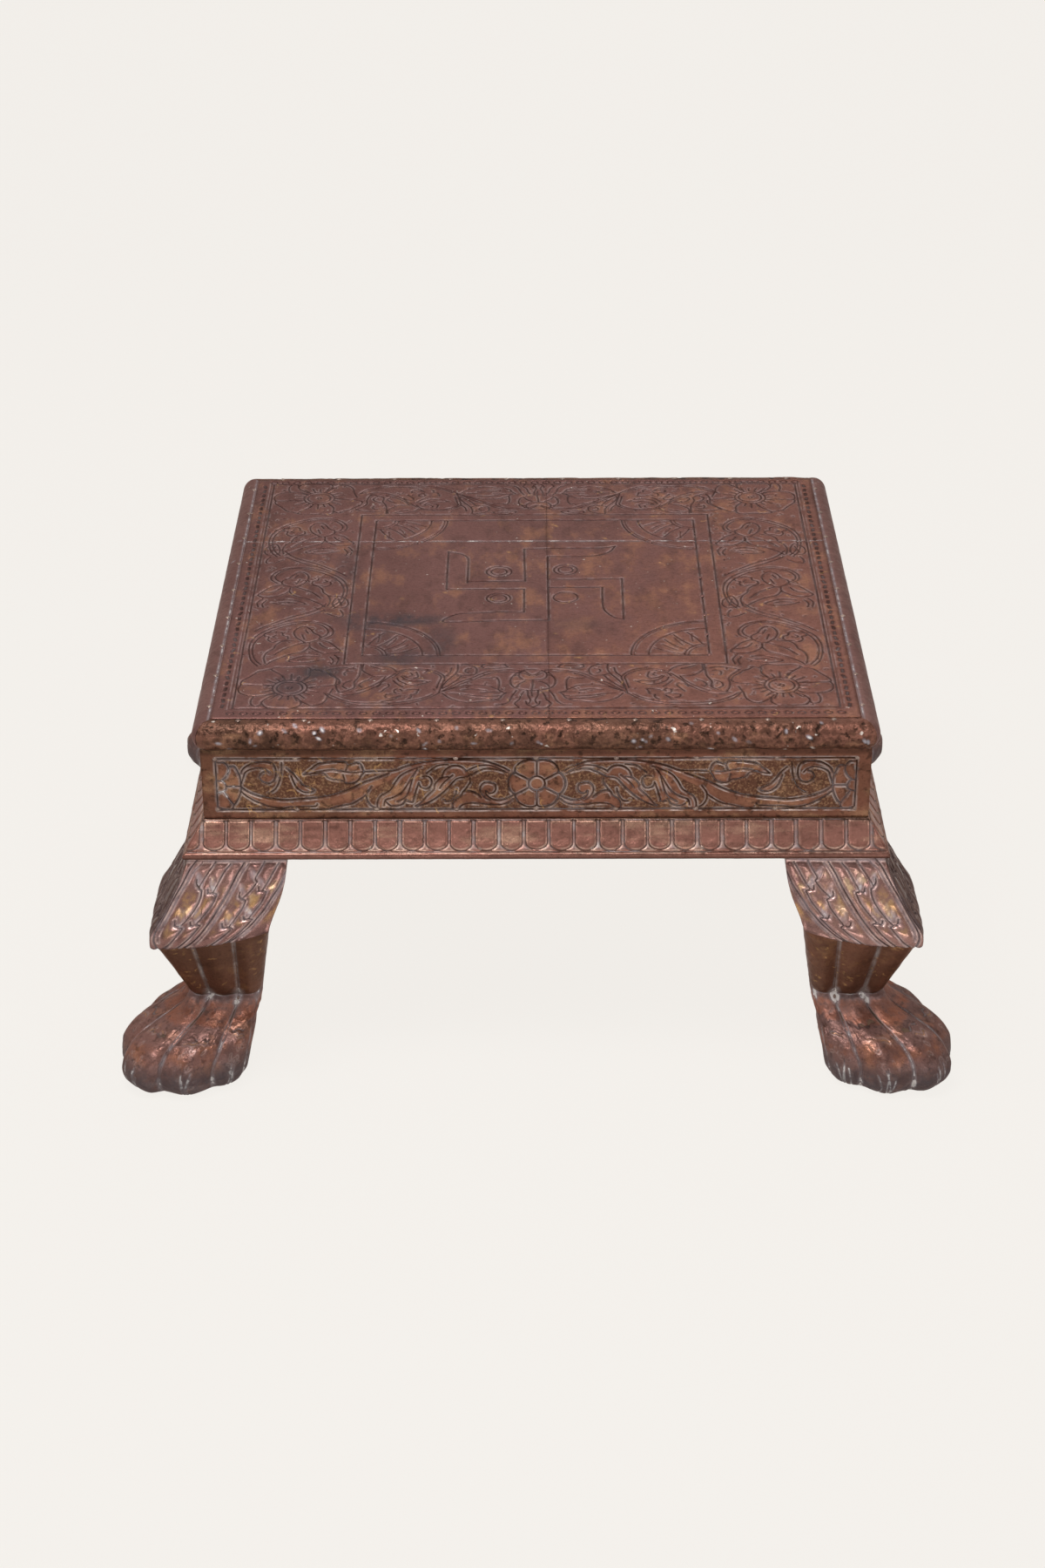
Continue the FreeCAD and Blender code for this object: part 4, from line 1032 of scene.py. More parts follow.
def edge_strip(side, seed):
    half_x, half_y = (HALF_X, HALF_Y) if side in ("front", "back") else (HALF_Y, HALF_X)
    straight = half_x - ROUND
    ends_under = side in ("front", "back")
    counts = 12, int(straight * 2 / 0.8 / 4) * 4
    along = np.concatenate([-2 + np.arange(12) / 12, np.linspace(-1, 1, counts[1] + 1),
                            1 + np.arange(1, 13) / 12])
    last = math.pi if ends_under else math.radians(148.4)
    rows = 44
    share = np.linspace(0, 1, rows + 1)
    turn = np.clip(np.abs(along) - 1, 0, 1)[None, :]
    end = last + (math.pi - last) * turn
    angle = share[:, None] * end
    low_lap = np.linspace(2.5, 0.6, 4)[:, None] * np.ones_like(angle[:1])
    angles = np.vstack([low_lap * 0, angle])
    laps = np.vstack([low_lap, angle * 0])
    if ends_under:
        angles = np.vstack([angles, low_lap * 0 + math.pi])
        laps = np.vstack([laps, (np.linspace(0.55, 2.2, 4)[:, None]) * np.ones_like(angle[:1])])
    alongs = np.ones_like(angles) * along[None, :]
    outer = nose_places(half_x, half_y, alongs, angles, laps, 0)
    inner = nose_places(half_x, half_y, alongs, angles, laps, SHEET)
    field = Relief((-half_x - 6, -4), (half_x + 6, 40), 0.3)
    dice = np.random.default_rng(seed)
    scale = np.zeros(field.size)
    for _ in range(int(half_x * (5.2 if ends_under else 1.2))):
        middle = (dice.uniform(-half_x, half_x), dice.triangular(3, 18, 34))
        radius = dice.uniform(1.1, 3.0)
        field.dent(middle, radius, dice.uniform(0.1, 0.55 if ends_under else 0.2) * radius / 2.6)
        # Pale spots at some dents: partly bright scale and partly painted glints on dent facets.
        if dice.random() < 0.045:
            at, x, y = field.window(np.subtract(middle, 3), np.add(middle, 3))
            lean, long, thin = dice.uniform(0, math.pi), dice.uniform(0.7, 1.7), dice.uniform(0.6, 1.1)
            if at is not None:
                x, y = x - middle[0], y - middle[1]
                off = np.hypot((x * math.cos(lean) + y * math.sin(lean)) / long,
                               (y * math.cos(lean) - x * math.sin(lean)) / thin)
                scale[at] = np.maximum(scale[at], dice.uniform(0.4, 1.3) * np.clip(1.8 - off, 0, 1))
    hammer(field, (-half_x, 0), (half_x, 34), 260, (6, 14), (0.05, 0.2) if ends_under else (0.01, 0.05),
           seed + 1)
    field.chase(by_hand([(-half_x, 1.0), (0, 1.2), (half_x, 1.0)], 6, 0.3), 1.5, 0.8)
    u = outer[..., 0]
    q = np.where(laps > 0, np.where(angles < 1, -laps, ROUND * math.pi + laps), ROUND * angles) + 2.5
    push = field.read(field.lift, u, q) - 0.4 * field.read(field.line, u, q)
    push = np.clip(push, -0.52, 0.45) * np.clip((q - 0.5) / 3, 0, 1)
    normal = np.stack([np.sign(alongs) * np.sin(angles)
                       * np.sin(np.clip(np.abs(alongs) - 1, 0, 1) * math.pi / 4),
                       -np.sin(angles) * np.cos(np.clip(np.abs(alongs) - 1, 0, 1) * math.pi / 4),
                       np.cos(angles)], -1)
    outer = outer + normal * push[..., None]
    pale = 0.0 if ends_under else 0.9
    # Painted shade: along the lower edge of every strip, and in the dents and on the upper band of the front
    # and back strips. Their lower half is stippled darker, partly as painted shade and partly as golden
    # crinkle.
    crater = np.clip(-field.read(field.lift, u, q) / 0.25, 0, 1) * ends_under
    layers = {"line": field.read(field.line, u, q),
              "haze": np.maximum(field.read(scale, u, q), pale * soft_step(-np.abs(q - 1.6), -1.6, 0)),
              "ground": 0.8 * np.clip((q - 17) / 9, 0, 1) * ends_under, "calm": 1.0 * (q < 13),
              "painted_shade": np.maximum(np.maximum(1.3 * np.clip((q - 25) / 8, 0, 1), 0.75 * crater),
                                   0.45 * np.clip((11 - q) / 5, 0, 1) * ends_under)}
    rows_left = (outer.shape[0] - 1) % 4
    if rows_left:
        outer = np.vstack([outer, np.repeat(outer[-1:], 4 - rows_left, 0)])
        inner = np.vstack([inner, np.repeat(inner[-1:], 4 - rows_left, 0)])
        layers = {key: np.vstack([v, np.repeat(v[-1:], 4 - rows_left, 0)]) for key, v in layers.items()}
    outer, inner = turned(outer, side), turned(inner[::4, ::4], side)
    return shell(f"edge_strip_{side}", outer, inner, layers)


for k, side in enumerate(SIDE_TURNS):
    settle(edge_strip(side, 20 + k), f"nose_strip_{side}",
           NOSE_COPPER if side in ("front", "back") else SIDE_COPPER)

# %% [markdown]
# The friezes are one vine on each side of the table. It leaves a round flower in the middle,
# rolls along both ways and ends in a curl and half a flower. As on the top, one half is written
# down and the other half is its mirror image. The side friezes are the same work, a little shorter.

# %% The lines of the frieze
FRIEZE = [
    [(19, -39.3), (23.6, -36.5), (30.9, -33.4), (36.4, -31.7), (46, -31), (61.8, -31), (70.9, -32),
     (80, -33.4),
     (89, -36), (98, -39.3), (110, -39.6), (117.8, -40)],
    [(20.5, -41), (27.3, -38.8), (34.5, -37.9), (40, -39.7), (47.3, -43.8), (54.5, -45.6), (60, -52),
     (66.4, -58.4), (72.7, -63), (81.8, -67)],
    [(22, -39.6), (31, -35.4), (38, -35.4), (43.6, -37.3), (48.2, -39.9)],
    [(48.2, -39.3), (51.8, -36), (57.3, -35.6), (61.8, -38.4), (63.6, -41.5), (64.5, -44.7)],
    [(60, -43.8), (64.5, -44.7), (69, -49.3), (70, -53.4), (74.5, -58.4), (79, -63.8), (82.7, -66.5)],
    [(57, -42.4), (63, -48), (66, -52.5)],
    [(60, -34.7), (67.3, -35.6), (71.8, -38.8), (75, -41.5)],
    [(77.7, -43.8), (73.6, -43.8), (71.4, -46.5), (71.8, -50.2), (74.5, -53), (78.6, -52), (80, -49)],
    [(81, -38.4), (84.5, -43.8), (88, -50), (91.8, -55.6), (97.3, -59.3), (102.7, -61.5), (104, -66)],
    [(78, -36), (84.5, -38.4), (91, -42), (95.5, -47.5), (99, -53.8), (105.5, -58.4), (108.2, -63),
     (108.6, -68)],
    [(80, -48.4), (81.8, -53.8), (83.6, -60.2), (84.5, -63.4), (88.2, -63)],
    [(84, -44), (87, -55), (90, -60), (95, -63)],
    [(89, -61), (91.8, -65.2), (98.2, -66.5), (102.7, -63)],
    [(100, -41), (108.3, -44.5), (116.7, -47.8), (125, -52.4), (133.3, -55.8), (141.7, -58.3), (151.7, -60),
     (160, -60.8), (170, -61.6), (177.5, -60.8), (186.7, -58.7), (194, -55.8), (199.6, -52)],
    [(111.7, -51), (115, -56), (115.4, -61), (113.3, -65.3), (110, -67.8)],
    [(115.8, -57.8), (120, -61), (125.8, -64.5), (131.7, -65.8), (140, -68)],
    [(149, -64.5), (151, -66.5), (166.7, -67), (173.3, -67.8), (181.7, -66.6), (190, -62.8), (195.8, -59),
     (200, -55.3)],
    [(117.5, -37.8), (118.8, -34.5), (121.7, -32.8), (127.5, -34.5), (129, -32.4), (135.8, -32),
     (142.5, -32.8),
     (147.5, -33.7), (151.7, -37), (157.5, -42)],
    [(118.3, -40), (125, -40.3), (133.3, -39), (140, -38.3), (150, -40)],
    [(118.8, -42.8), (120.8, -46.6), (125, -49), (129, -48.7), (131.3, -46.6), (135.8, -46.2), (140.8, -44.5),
     (145, -40.8), (157.5, -42)],
    [(117.5, -37.8), (117, -40.5), (118.8, -42.8)], [(127.5, -34.8), (129, -38.8)],
    [(130, -46.4), (131, -42)],
    [(169, -37), (165, -40.8), (162, -45.3), (158.3, -49.5), (154, -52), (150.8, -54), (154, -55.8),
     (158.3, -55.3), (162.5, -52), (164.4, -47.8), (166, -43)],
    [(199.6, -41), (198.3, -37.8), (194, -34.5), (190, -32.8), (183.3, -32), (178.3, -33.7), (176.3, -37.8),
     (176.3, -42.8), (178, -47), (181.7, -48.7), (185, -47.8), (187.5, -44.5), (185.8, -40.8), (183, -39.6)],
    [(180, -40.8), (182.5, -38.3), (187.5, -37), (192.5, -37.8), (196.7, -40.3), (198.3, -44.5),
     (200.4, -51)],
    [(172, -33), (172.5, -40), (174, -47), (177, -53), (182, -56.5)],
    # The half flower at the end
    [(215.5, -46.6), (212, -47), (210, -50.8), (211.3, -54), (215.5, -55.3)],
    [(215.4, -32.4), (210.8, -32.8), (208.3, -35.8), (208, -39.5), (210, -43.7), (212.5, -46)],
    [(207.5, -35.8), (204, -35.8), (201.7, -40.3), (200.4, -44.5), (200.2, -50.8), (200.4, -54.5),
     (202, -59.5),
     (205, -64.5), (206.7, -63.3), (209.6, -59), (211.7, -55.3)],
    [(200, -50.8), (209.6, -50.8)], [(205.4, -65), (206.7, -68.3), (210.8, -68.7), (215.4, -67.4)],
    # Small leaves beside the middle flower
    [(16.4, -58.4), (20, -60.2), (25.5, -62), (30.9, -61), (34.5, -58), (35, -54.7)],
    [(34.5, -54.7), (32.7, -57), (29.5, -56), (28.2, -53.4), (29, -49.7), (32.7, -48.4), (36.4, -48.8),
     (38.6, -52), (38.6, -55.6), (36.4, -59.3), (31.8, -62)],
    [(16.4, -61), (20.9, -64.3), (27.3, -65.6), (34.5, -65.2), (43.6, -64.3), (50, -65.2), (52.7, -67.6)],
    [(38.2, -59.7), (41.8, -56.5), (46.4, -54.7), (50, -55.2), (51.8, -58.4), (55.5, -61), (57.3, -64.7),
     (57.3, -68)],
    [(45.5, -44.7), (45.5, -48.4), (48.2, -53), (50, -55.2)],
    [(54.5, -53), (55.5, -57.5), (58.2, -62), (61.8, -63), (63.6, -61.5)],
]
FRIEZE_FLOWER = (0.5, -49.0)
# What stands above the stippled ground: the stem, leaves, buds and curls, as closed outlines
FRIEZE_RAISED = [
    [(19, -39.3), (23.6, -36.5), (30.9, -33.4), (46, -31), (61.8, -31), (80, -33.4), (98, -39.3),
     (108.3, -44.5),
     (116.7, -47.8), (125, -52.4), (133.3, -55.8), (151.7, -60), (170, -61.6), (186.7, -58.7), (199.6, -52),
     (200, -55.3), (190, -62.8), (181.7, -66.6), (166.7, -67), (151, -66.5), (140, -68), (125.8, -64.5),
     (115.8, -57.8), (108, -51), (91, -42), (78, -36), (64, -33.8), (46, -33.6), (36, -36), (27.3, -38.8),
     (20.5, -41)],
    [(80, -34), (91, -42), (99, -53.8), (105.5, -58.4), (108.6, -68), (98.2, -66.5), (91.8, -65.2), (89, -61),
     (84.5, -63.4), (83.6, -60.2), (80, -48.4), (81, -38.4)],
    [(48.2, -39.3), (51.8, -36), (57.3, -35.6), (61.8, -38.4), (65, -44.7), (69, -49.3), (74.5, -58.4),
     (82.7, -66.5), (72.7, -63), (60, -52), (54.5, -45.6), (47.3, -43.8)],
    [(28.2, -53.4), (32.7, -57), (35, -54.7), (34.5, -58), (30.9, -61), (25.5, -62), (16.4, -61),
     (20.9, -64.3),
     (27.3, -65.6), (43.6, -64.3), (57.3, -68), (55.5, -61), (51.8, -58.4), (50, -55.2), (41.8, -56.5),
     (38.2, -59.7), (38.6, -52), (36.4, -48.8), (32.7, -48.4), (29, -49.7)],
    [(117.5, -37.8), (121.7, -32.8), (127.5, -34.5), (129, -32.4), (142.5, -32.8), (151.7, -37), (157.5, -42),
     (145, -40.8), (140.8, -44.5), (131.3, -46.6), (129, -48.7), (120.8, -46.6), (118.8, -42.8)],
    [(199.6, -41), (198.3, -37.8), (190, -32.8), (183.3, -32), (178.3, -33.7), (176.3, -42.8), (178, -47),
     (181.7, -48.7), (187.5, -44.5), (183, -39.6), (187.5, -37), (196.7, -40.3), (198.3, -44.5),
     (200.4, -51)],
    [(215.5, -32.4), (207.5, -35.8), (204, -35.8), (200.4, -44.5), (200.2, -54.5), (202, -59.5), (205, -64.5),
     (206.7, -68.3), (215.5, -68.5)],
    [(169, -37), (162, -45.3), (154, -52), (150.8, -54), (158.3, -55.3), (164.4, -47.8), (166, -43)],
]


# %% [markdown]
# Stem and leaves are raised first, then outlined, and the ground between is stippled with a punch.
# The side friezes are squeezed a little to their shorter length.

# %% Chasing the friezes


def frieze_field(length):
    """The relief of a frieze. Its height runs down from the top face of the table."""
    field = Relief((-length, -76), (length, -20), 0.25)
    field.swells = True
    stretch = length / FACE_X
    lines = [[(x * stretch, z) for x, z in line] for line in FRIEZE]
    for line in lines + [[(1 - x, z) for x, z in line] for line in lines]:
        field.chase(by_hand(line, 1.0, 0.1), 1.45, 1.0)
    for outline in FRIEZE_RAISED:
        for way in (lambda x: x, lambda x: 1 - x):
            field.raise_lobe(smooth([(way(x * stretch), z) for x, z in outline], 2, closed=True), 0.5, 2.2)
    x, z = FRIEZE_FLOWER
    outline = []
    for k in range(73):
        angle = k * math.pi / 36
        radius = 16.8 + 2.5 * abs(math.sin(3 * (angle - math.pi / 2))) ** 0.6
        outline.append((x + radius * math.cos(angle), z + radius * math.sin(angle)))
    field.raise_lobe(outline, 0.5, 2)
    field.chase(outline, 1.8)
    field.chase(ring(FRIEZE_FLOWER, 5.5), 1.7)
    for k in range(6):
        angle = math.pi / 6 + k * math.pi / 3
        way = np.array([math.cos(angle), math.sin(angle)])
        field.chase([np.array(FRIEZE_FLOWER) + way * r for r in (5.6, 11, 16.6)], 1.7)
    for line in box_lines(-215.5 * stretch, 215.5 * stretch, -69, -30.2):
        field.chase(by_hand(line, 5, 0.25), 1.8, 1.0)
    dice = np.random.default_rng(int(length))
    for _ in range(int(length * 40)):
        spot = dice.uniform((-214 * stretch, -68), (214 * stretch, -31))
        if field.read(field.near, *spot) > 1.2 and field.read(field.ground, *spot) > 0.9:
            field.dent(spot, dice.uniform(0.6, 1.0), dice.uniform(0.1, 0.25))
    hammer(field, (-length, -75), (length, -22), 300, (3, 8), (0.03, 0.12), 8)
    return field


for side in SIDE_TURNS:
    panel = "frieze_panel_" + side
    low, high = (np.array(v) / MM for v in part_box(panel))
    front = side in ("front", "back")
    length, out = (high[0], FACE_Y) if front else (high[1], FACE_X)
    field = frieze_field(length)
    height = 0.6 * pillow(field.near, 3.6) + field.lift - 0.6 * field.line
    z = field.low[1] + np.arange(field.size[1]) * field.pitch
    height *= np.clip(np.minimum(z + 76, -z - 21.5) / 2, 0, 1)[None, :]
    x = field.low[0] + np.arange(field.size[0]) * field.pitch
    inside = (np.abs(x)[:, None] < 215 * length / FACE_X) & (z > -68.5)[None, :] & (z < -30.8)[None, :]
    field.ground *= inside
    flowers = np.maximum(np.clip(1.5 - np.hypot((x[:, None] + 208) / 9, (z[None, :] + 50) / 17), 0, 1),
                         0.5 * np.clip(1.5 - np.hypot((x[:, None] - 208) / 8, (z[None, :] + 48) / 12), 0, 1))
    marks = Relief((-length, -76), (length, -20), 0.25)
    dice = np.random.default_rng(90)
    for low_x, high_x, count in ((-205, -105, 34), (-100, 215, 26)):
        for stroke in scratches(dice, (low_x * length / FACE_X, -68), (high_x * length / FACE_X, -32), count):
            marks.chase(smooth(stroke, 0.8), 1.0, 0.8)
    # The leaves turn warmer and lighter towards their middles, as painted light on their swell. Painted shade
    # lies along the lines and as a shadow along the top, under the edge strip.
    extra = {"haze": 1.5 * flowers * np.sqrt(field.line) if front else 0 * field.line, "scratches_and_sheen": marks.line,
             "tone": (1 - field.ground) * pillow(field.near, 5.5) * inside * 0.6,
             "painted_shade": np.maximum(0.9 - 0.9 * pillow(field.near, 3), 0.8 * soft_step(z, -27.8, -26)[None, :])}
    piece = flat_sheet(f"vine_frieze_{side}", field, height, (-length, low[2] - TOP_Z),
                       (length, high[2] - TOP_Z),
                       lambda u, v, h: turned(np.stack([u, -out - h, TOP_Z + v], -1), side), fine=0.6,
                       extra=extra)
    settle(piece, panel, FRIEZE_COPPER)

# %% [markdown]
# Under each frieze runs a row of round-ended tongues on a hollow moulding, over a plain bead. The
# strip is bent to the section of the moulding and mitred at its corners.

# %% Tongue mouldings
TONGUE_PITCH = 16.4


def arc(first, over, last, count):
    """Points along the round arc through three points."""
    p, q, r = (complex(*point) for point in (first, over, last))
    w = (r - p) / (q - p)
    middle = (q - p) * (w - abs(w) ** 2) / (2j * w.imag) + p
    middle = complex(middle.real, middle.imag)
    start, end = p - middle, r - middle
    sweep_angle = math.atan2((end / start).imag, (end / start).real)
    half = math.atan2(((q - middle) / start).imag, ((q - middle) / start).real)
    if sweep_angle * half < 0:
        sweep_angle += math.copysign(2 * math.pi, half)
    spots = [middle + start * complex(math.cos(sweep_angle * t), math.sin(sweep_angle * t))
             for t in np.linspace(0, 1, count)]
    return np.array([(s.real, s.imag) for s in spots])


def moulding_profile(face, flare):
    span = flare - 1.2

    def point(out, up):
        return face + 1.2 + out * span, MOULDING_LOW + up * MOULDING_HEIGHT
    slope = arc(point(0, 1), point(0.52, 0.5), point(0.9, 0.2), 41)
    bead = arc(point(0.9, 0.2), point(1.0, 0.1), point(0.9, 0), 17)
    return np.vstack([slope[:-1], bead])


def tongue_strip(side, seed):
    front = side in ("front", "back")
    face, flare = (FACE_Y, FLARE_FRONT) if front else (FACE_X, FLARE_SIDE)
    other_face, other_flare = (FACE_X, FLARE_SIDE) if front else (FACE_Y, FLARE_FRONT)
    profile = moulding_profile(face, flare)
    steps = np.hypot(*np.diff(profile, axis=0).T)
    down = np.concatenate([[0], np.cumsum(steps)])
    field = Relief((-250, -1), (250, down[-1] + 1), 0.25)
    field.swells = True
    count = int(2 * other_face / TONGUE_PITCH)
    pitch = 2 * (other_face + 2) / count
    slope = down[40] - 1.5
    dice = np.random.default_rng(seed)
    for k in range(-1, count + 1):
        x = (k + 0.5 - count / 2) * pitch + dice.normal(0, 0.2)
        half = pitch / 2 - 1.15 + dice.normal(0, 0.15)
        foot = slope - 0.2 + dice.normal(0, 0.25)
        bend = [(x + half * math.cos(a), foot - 5 + 5 * math.sin(a)) for a in np.linspace(0, math.pi, 15)]
        outline = [(x + half, -0.9)] + [(x + half, foot - 8)] + bend + [(x - half, foot - 8),
                                                                        (x - half, -0.9)]
        field.raise_lobe(outline, 0.55, 2.2)
        field.chase(outline + outline[:1], 1.5, 1.0)
    u = field.low[0] + np.arange(field.size[0])[:, None] * field.pitch
    v = field.low[1] + np.arange(field.size[1])[None, :] * field.pitch
    haze = field.ground * np.clip((v - 0.5) / 1.5, 0, 1) * np.clip((slope - 0.6 - v) / 1.5, 0, 1) + 0 * u
    field.chase(by_hand([(-250, 0.8), (0, 0.8), (250, 0.8)], 6, 0.15), 1.8, 1.0)
    field.chase(by_hand([(-250, slope + 0.5), (0, slope + 0.5), (250, slope + 0.5)], 6, 0.2), 1.4, 1.0)
    hammer(field, (-250, 0), (250, down[-1]), 500, (2, 6), (0.03, 0.12), seed)
    rows = 4 * int(down[-1] / 0.55 / 4)
    q = np.linspace(0, down[-1], rows + 1)
    out = np.interp(q, down, profile[:, 0])
    z = np.interp(q, down, profile[:, 1])
    normal = np.stack([-np.gradient(z, q), np.gradient(out, q)], 1)
    normal /= np.linalg.norm(normal, axis=1, keepdims=True)
    reach = other_face - SHEET + (out - face + SHEET) * other_flare / flare - 0.04
    columns = 4 * int(2 * other_face / 0.65 / 4)
    x = np.linspace(-1, 1, columns + 1)[None, :] * reach[:, None]
    rows_v = q[:, None] + 0 * x
    push = (0.4 * field.read(pillow(field.near, 3), x, rows_v) + field.read(field.lift, x, rows_v)
            - 0.5 * field.read(field.line, x, rows_v))
    push *= np.clip(np.minimum(q, down[-1] - q)[:, None] / 1.5, 0, 1)
    push = np.clip(push, -0.5, 1.0)
    outer = np.stack([x, -(out[:, None] + normal[:, :1] * push), z[:, None] + normal[:, 1:] * push], -1)
    inner = np.stack([x, -(out[:, None] - SHEET) + 0 * x, z[:, None] + 0 * x], -1)[::4, ::4]
    # Lit edges are strongest at the feet of the tongues, as painted highlight. Painted shade lies along the
    # lines and over the bead, darkest at its lower edge, and as a shadow along the top under the frieze.
    layers = {"line": field.read(field.line, x, rows_v), "haze": 0.75 * field.read(haze, x, rows_v),
              "worn_lit_edge": field.read(worn_lit_edge(field.near, 0.8), x, rows_v) * np.clip((rows_v - slope + 8) / 4, 0.3, 1),
              "painted_shade": np.maximum(0.6 - 0.6 * field.read(pillow(field.near, 2), x, rows_v),
                                   np.maximum(0.75 * soft_step(rows_v, slope, slope + 1)
                                              + 0.7 * soft_step(rows_v, down[-1] - 3.5, down[-1] - 0.5),
                                              0.9 * soft_step(-rows_v, -3, -1))),
              "calm": 1.0 * (rows_v > slope - 1)}
    return shell(f"tongue_strip_{side}", turned(outer, side), turned(inner, side), layers)


for k, side in enumerate(SIDE_TURNS):
    settle(tongue_strip(side, 40 + k), f"petal_strip_{side}", PETAL_COPPER)

# %% [markdown]
# Each leg is clad in three pieces: a knee cover worked as a spray of feathers, a plain grooved
# sleeve on the shin, and a cover beaten over the lion's paw. The sections are the ones that the
# wood was carved to. All are made at the back right corner and mirrored to the others.

# %% Sections of the leg
SHIN_OUTLINE = ((.98, .98), (.7, 1), (.33, .93), (-.03, 1.01), (-.42, .93), (-.72, .98), (-.95, .86),
                (-1, .3),
                (-1, -.4), (-.93, -.93))
ANKLE_OUTLINE = ((.86, .86), (.65, .96), (.42, .89), (.05, 1), (-.38, .89), (-.66, .93), (-.92, .74),
                 (-1, .25),
                 (-.99, -.35), (-.87, -.87))
PAW_OUTLINE = ((.77, .77), (.57, .91), (.34, .89), (-.06, 1), (-.49, .77), (-.75, .67), (-.96, .38), (-1, 0),
               (-.97, -.45), (-.84, -.84))
PAW_LEVELS = ((1, 0, 0, 0), (.87, .1, .1, .35), (.71, .5, .25, .7), (.54, .85, .42, .95), (.31, 1, .62, 1),
              (.1, .94, .78, 1), (0, .81, 1, 1))
KNEE_LEVELS = ((0, 0, 0, .2), (.24, .15, .08, .5), (.48, .42, .34, 1), (.7, .7, .7, .8), (.86, .91, .88, .6),
               (1, .9, 1, .6))
KNEE_WIDTH, KNEE_RISE, KNEE_FLARE, KNEE_SLANT, KNEE_BELLY = 67.0, 12.0, 28.0, 15.5, 1.5
ANKLE_OUT, ANKLE_IN, SHIN_OUT, SHIN_IN, PAW_OUT, PAW_IN = 5.0, 44.5, 28.0, 53.0, 53.0, 29.5
SOLE_EDGE = 0.8


def bends(knots, values, closed):
    """Second derivatives of the smooth cubic through values at knots."""
    n = len(values)
    h = np.diff(knots)
    slope = np.diff(np.vstack([values, values[:1]]) if closed else values, axis=0) / h[:, None]
    matrix, right_side = np.eye(n), np.zeros(values.shape)
    for i in range(n) if closed else range(1, n - 1):
        matrix[i, i] = 2 * (h[i - 1] + h[i])
        matrix[i, (i - 1) % n] = h[i - 1]
        matrix[i, (i + 1) % n] = h[i]
        right_side[i] = 6 * (slope[i] - slope[i - 1])
    return np.linalg.solve(matrix, right_side)


def spline(knots, values, at, closed=False):
    """The cubic's values at the places given, each a span and a share of it."""
    values = np.asarray(values, float)
    bend = bends(knots, values, closed)
    span, share = at
    nxt = (span + 1) % len(values)
    h = np.diff(knots)[span][:, None]
    t = share[:, None]
    return (values[span] * (1 - t) + values[nxt] * t
            - h * h / 6 * t * (1 - t) * ((2 - t) * bend[span] + (1 + t) * bend[nxt]))


def whole(outline):
    return np.array(list(outline) + [(b, a) for a, b in reversed(outline[1:-1])])


def section(outline, out, inward, inset, at):
    middle, half = (out - inward) / 2, (out + inward) / 2 - inset
    points = middle + half * whole(outline)
    gaps = np.linalg.norm(np.roll(points, -1, 0) - points, axis=1)
    return spline(np.append(0, np.cumsum(gaps)), points, at, closed=True)


def spread(outline, columns):
    """Places round an outline, evenly far apart, as spans and shares."""
    points = whole(outline)
    gaps = np.linalg.norm(np.roll(points, -1, 0) - points, axis=1)
    runs = np.append(0, np.cumsum(gaps))
    where = np.arange(columns) / columns * runs[-1]
    span = np.clip(np.searchsorted(runs, where, "right") - 1, 0, len(points) - 1)
    return span, (where - runs[span]) / gaps[span]


def heights_between(knots, levels, rows):
    """Spans and shares of evenly spread rows along knots."""
    where = np.linspace(levels[0], levels[1], rows)
    span = np.clip(np.searchsorted(knots, where, "right") - 1, 0, len(knots) - 2)
    return span, (where - knots[span]) / np.diff(knots)[span]


def edge_height(across):
    """Height of the knee's curved lower edge, at a distance across the diagonal."""
    reach = (KNEE_WIDTH - KNEE_SLANT + KNEE_FLARE) / math.sqrt(2)
    radius = (reach ** 2 + KNEE_RISE ** 2) / (2 * KNEE_RISE)
    return KNEE_LOW + radius - np.sqrt(radius ** 2 - across ** 2)


def mirrored(points, corner):
    sign_x, sign_y = CORNERS[corner]
    return (points + np.array([KNEE_X, KNEE_Y, 0])) * np.array([sign_x, sign_y, 1])


def from_column(points, column):
    """How far every point of a ring grid is from one of its columns, along its row, with a sign."""
    steps = np.linalg.norm(np.roll(points, -1, 1) - points, axis=2)
    run = np.cumsum(steps, 1) - steps
    total = steps.sum(1, keepdims=True)
    return (run - run[:, column:column + 1] + total / 2) % total - total / 2


# %% [markdown]
# The feathers of a knee run from its top edge down and outwards, round the corner of the leg. Some
# lines are smooth and some are broken by small nicks. The lines are read in shares of the face,
# from its inner edge to its outer corner and from the top down.

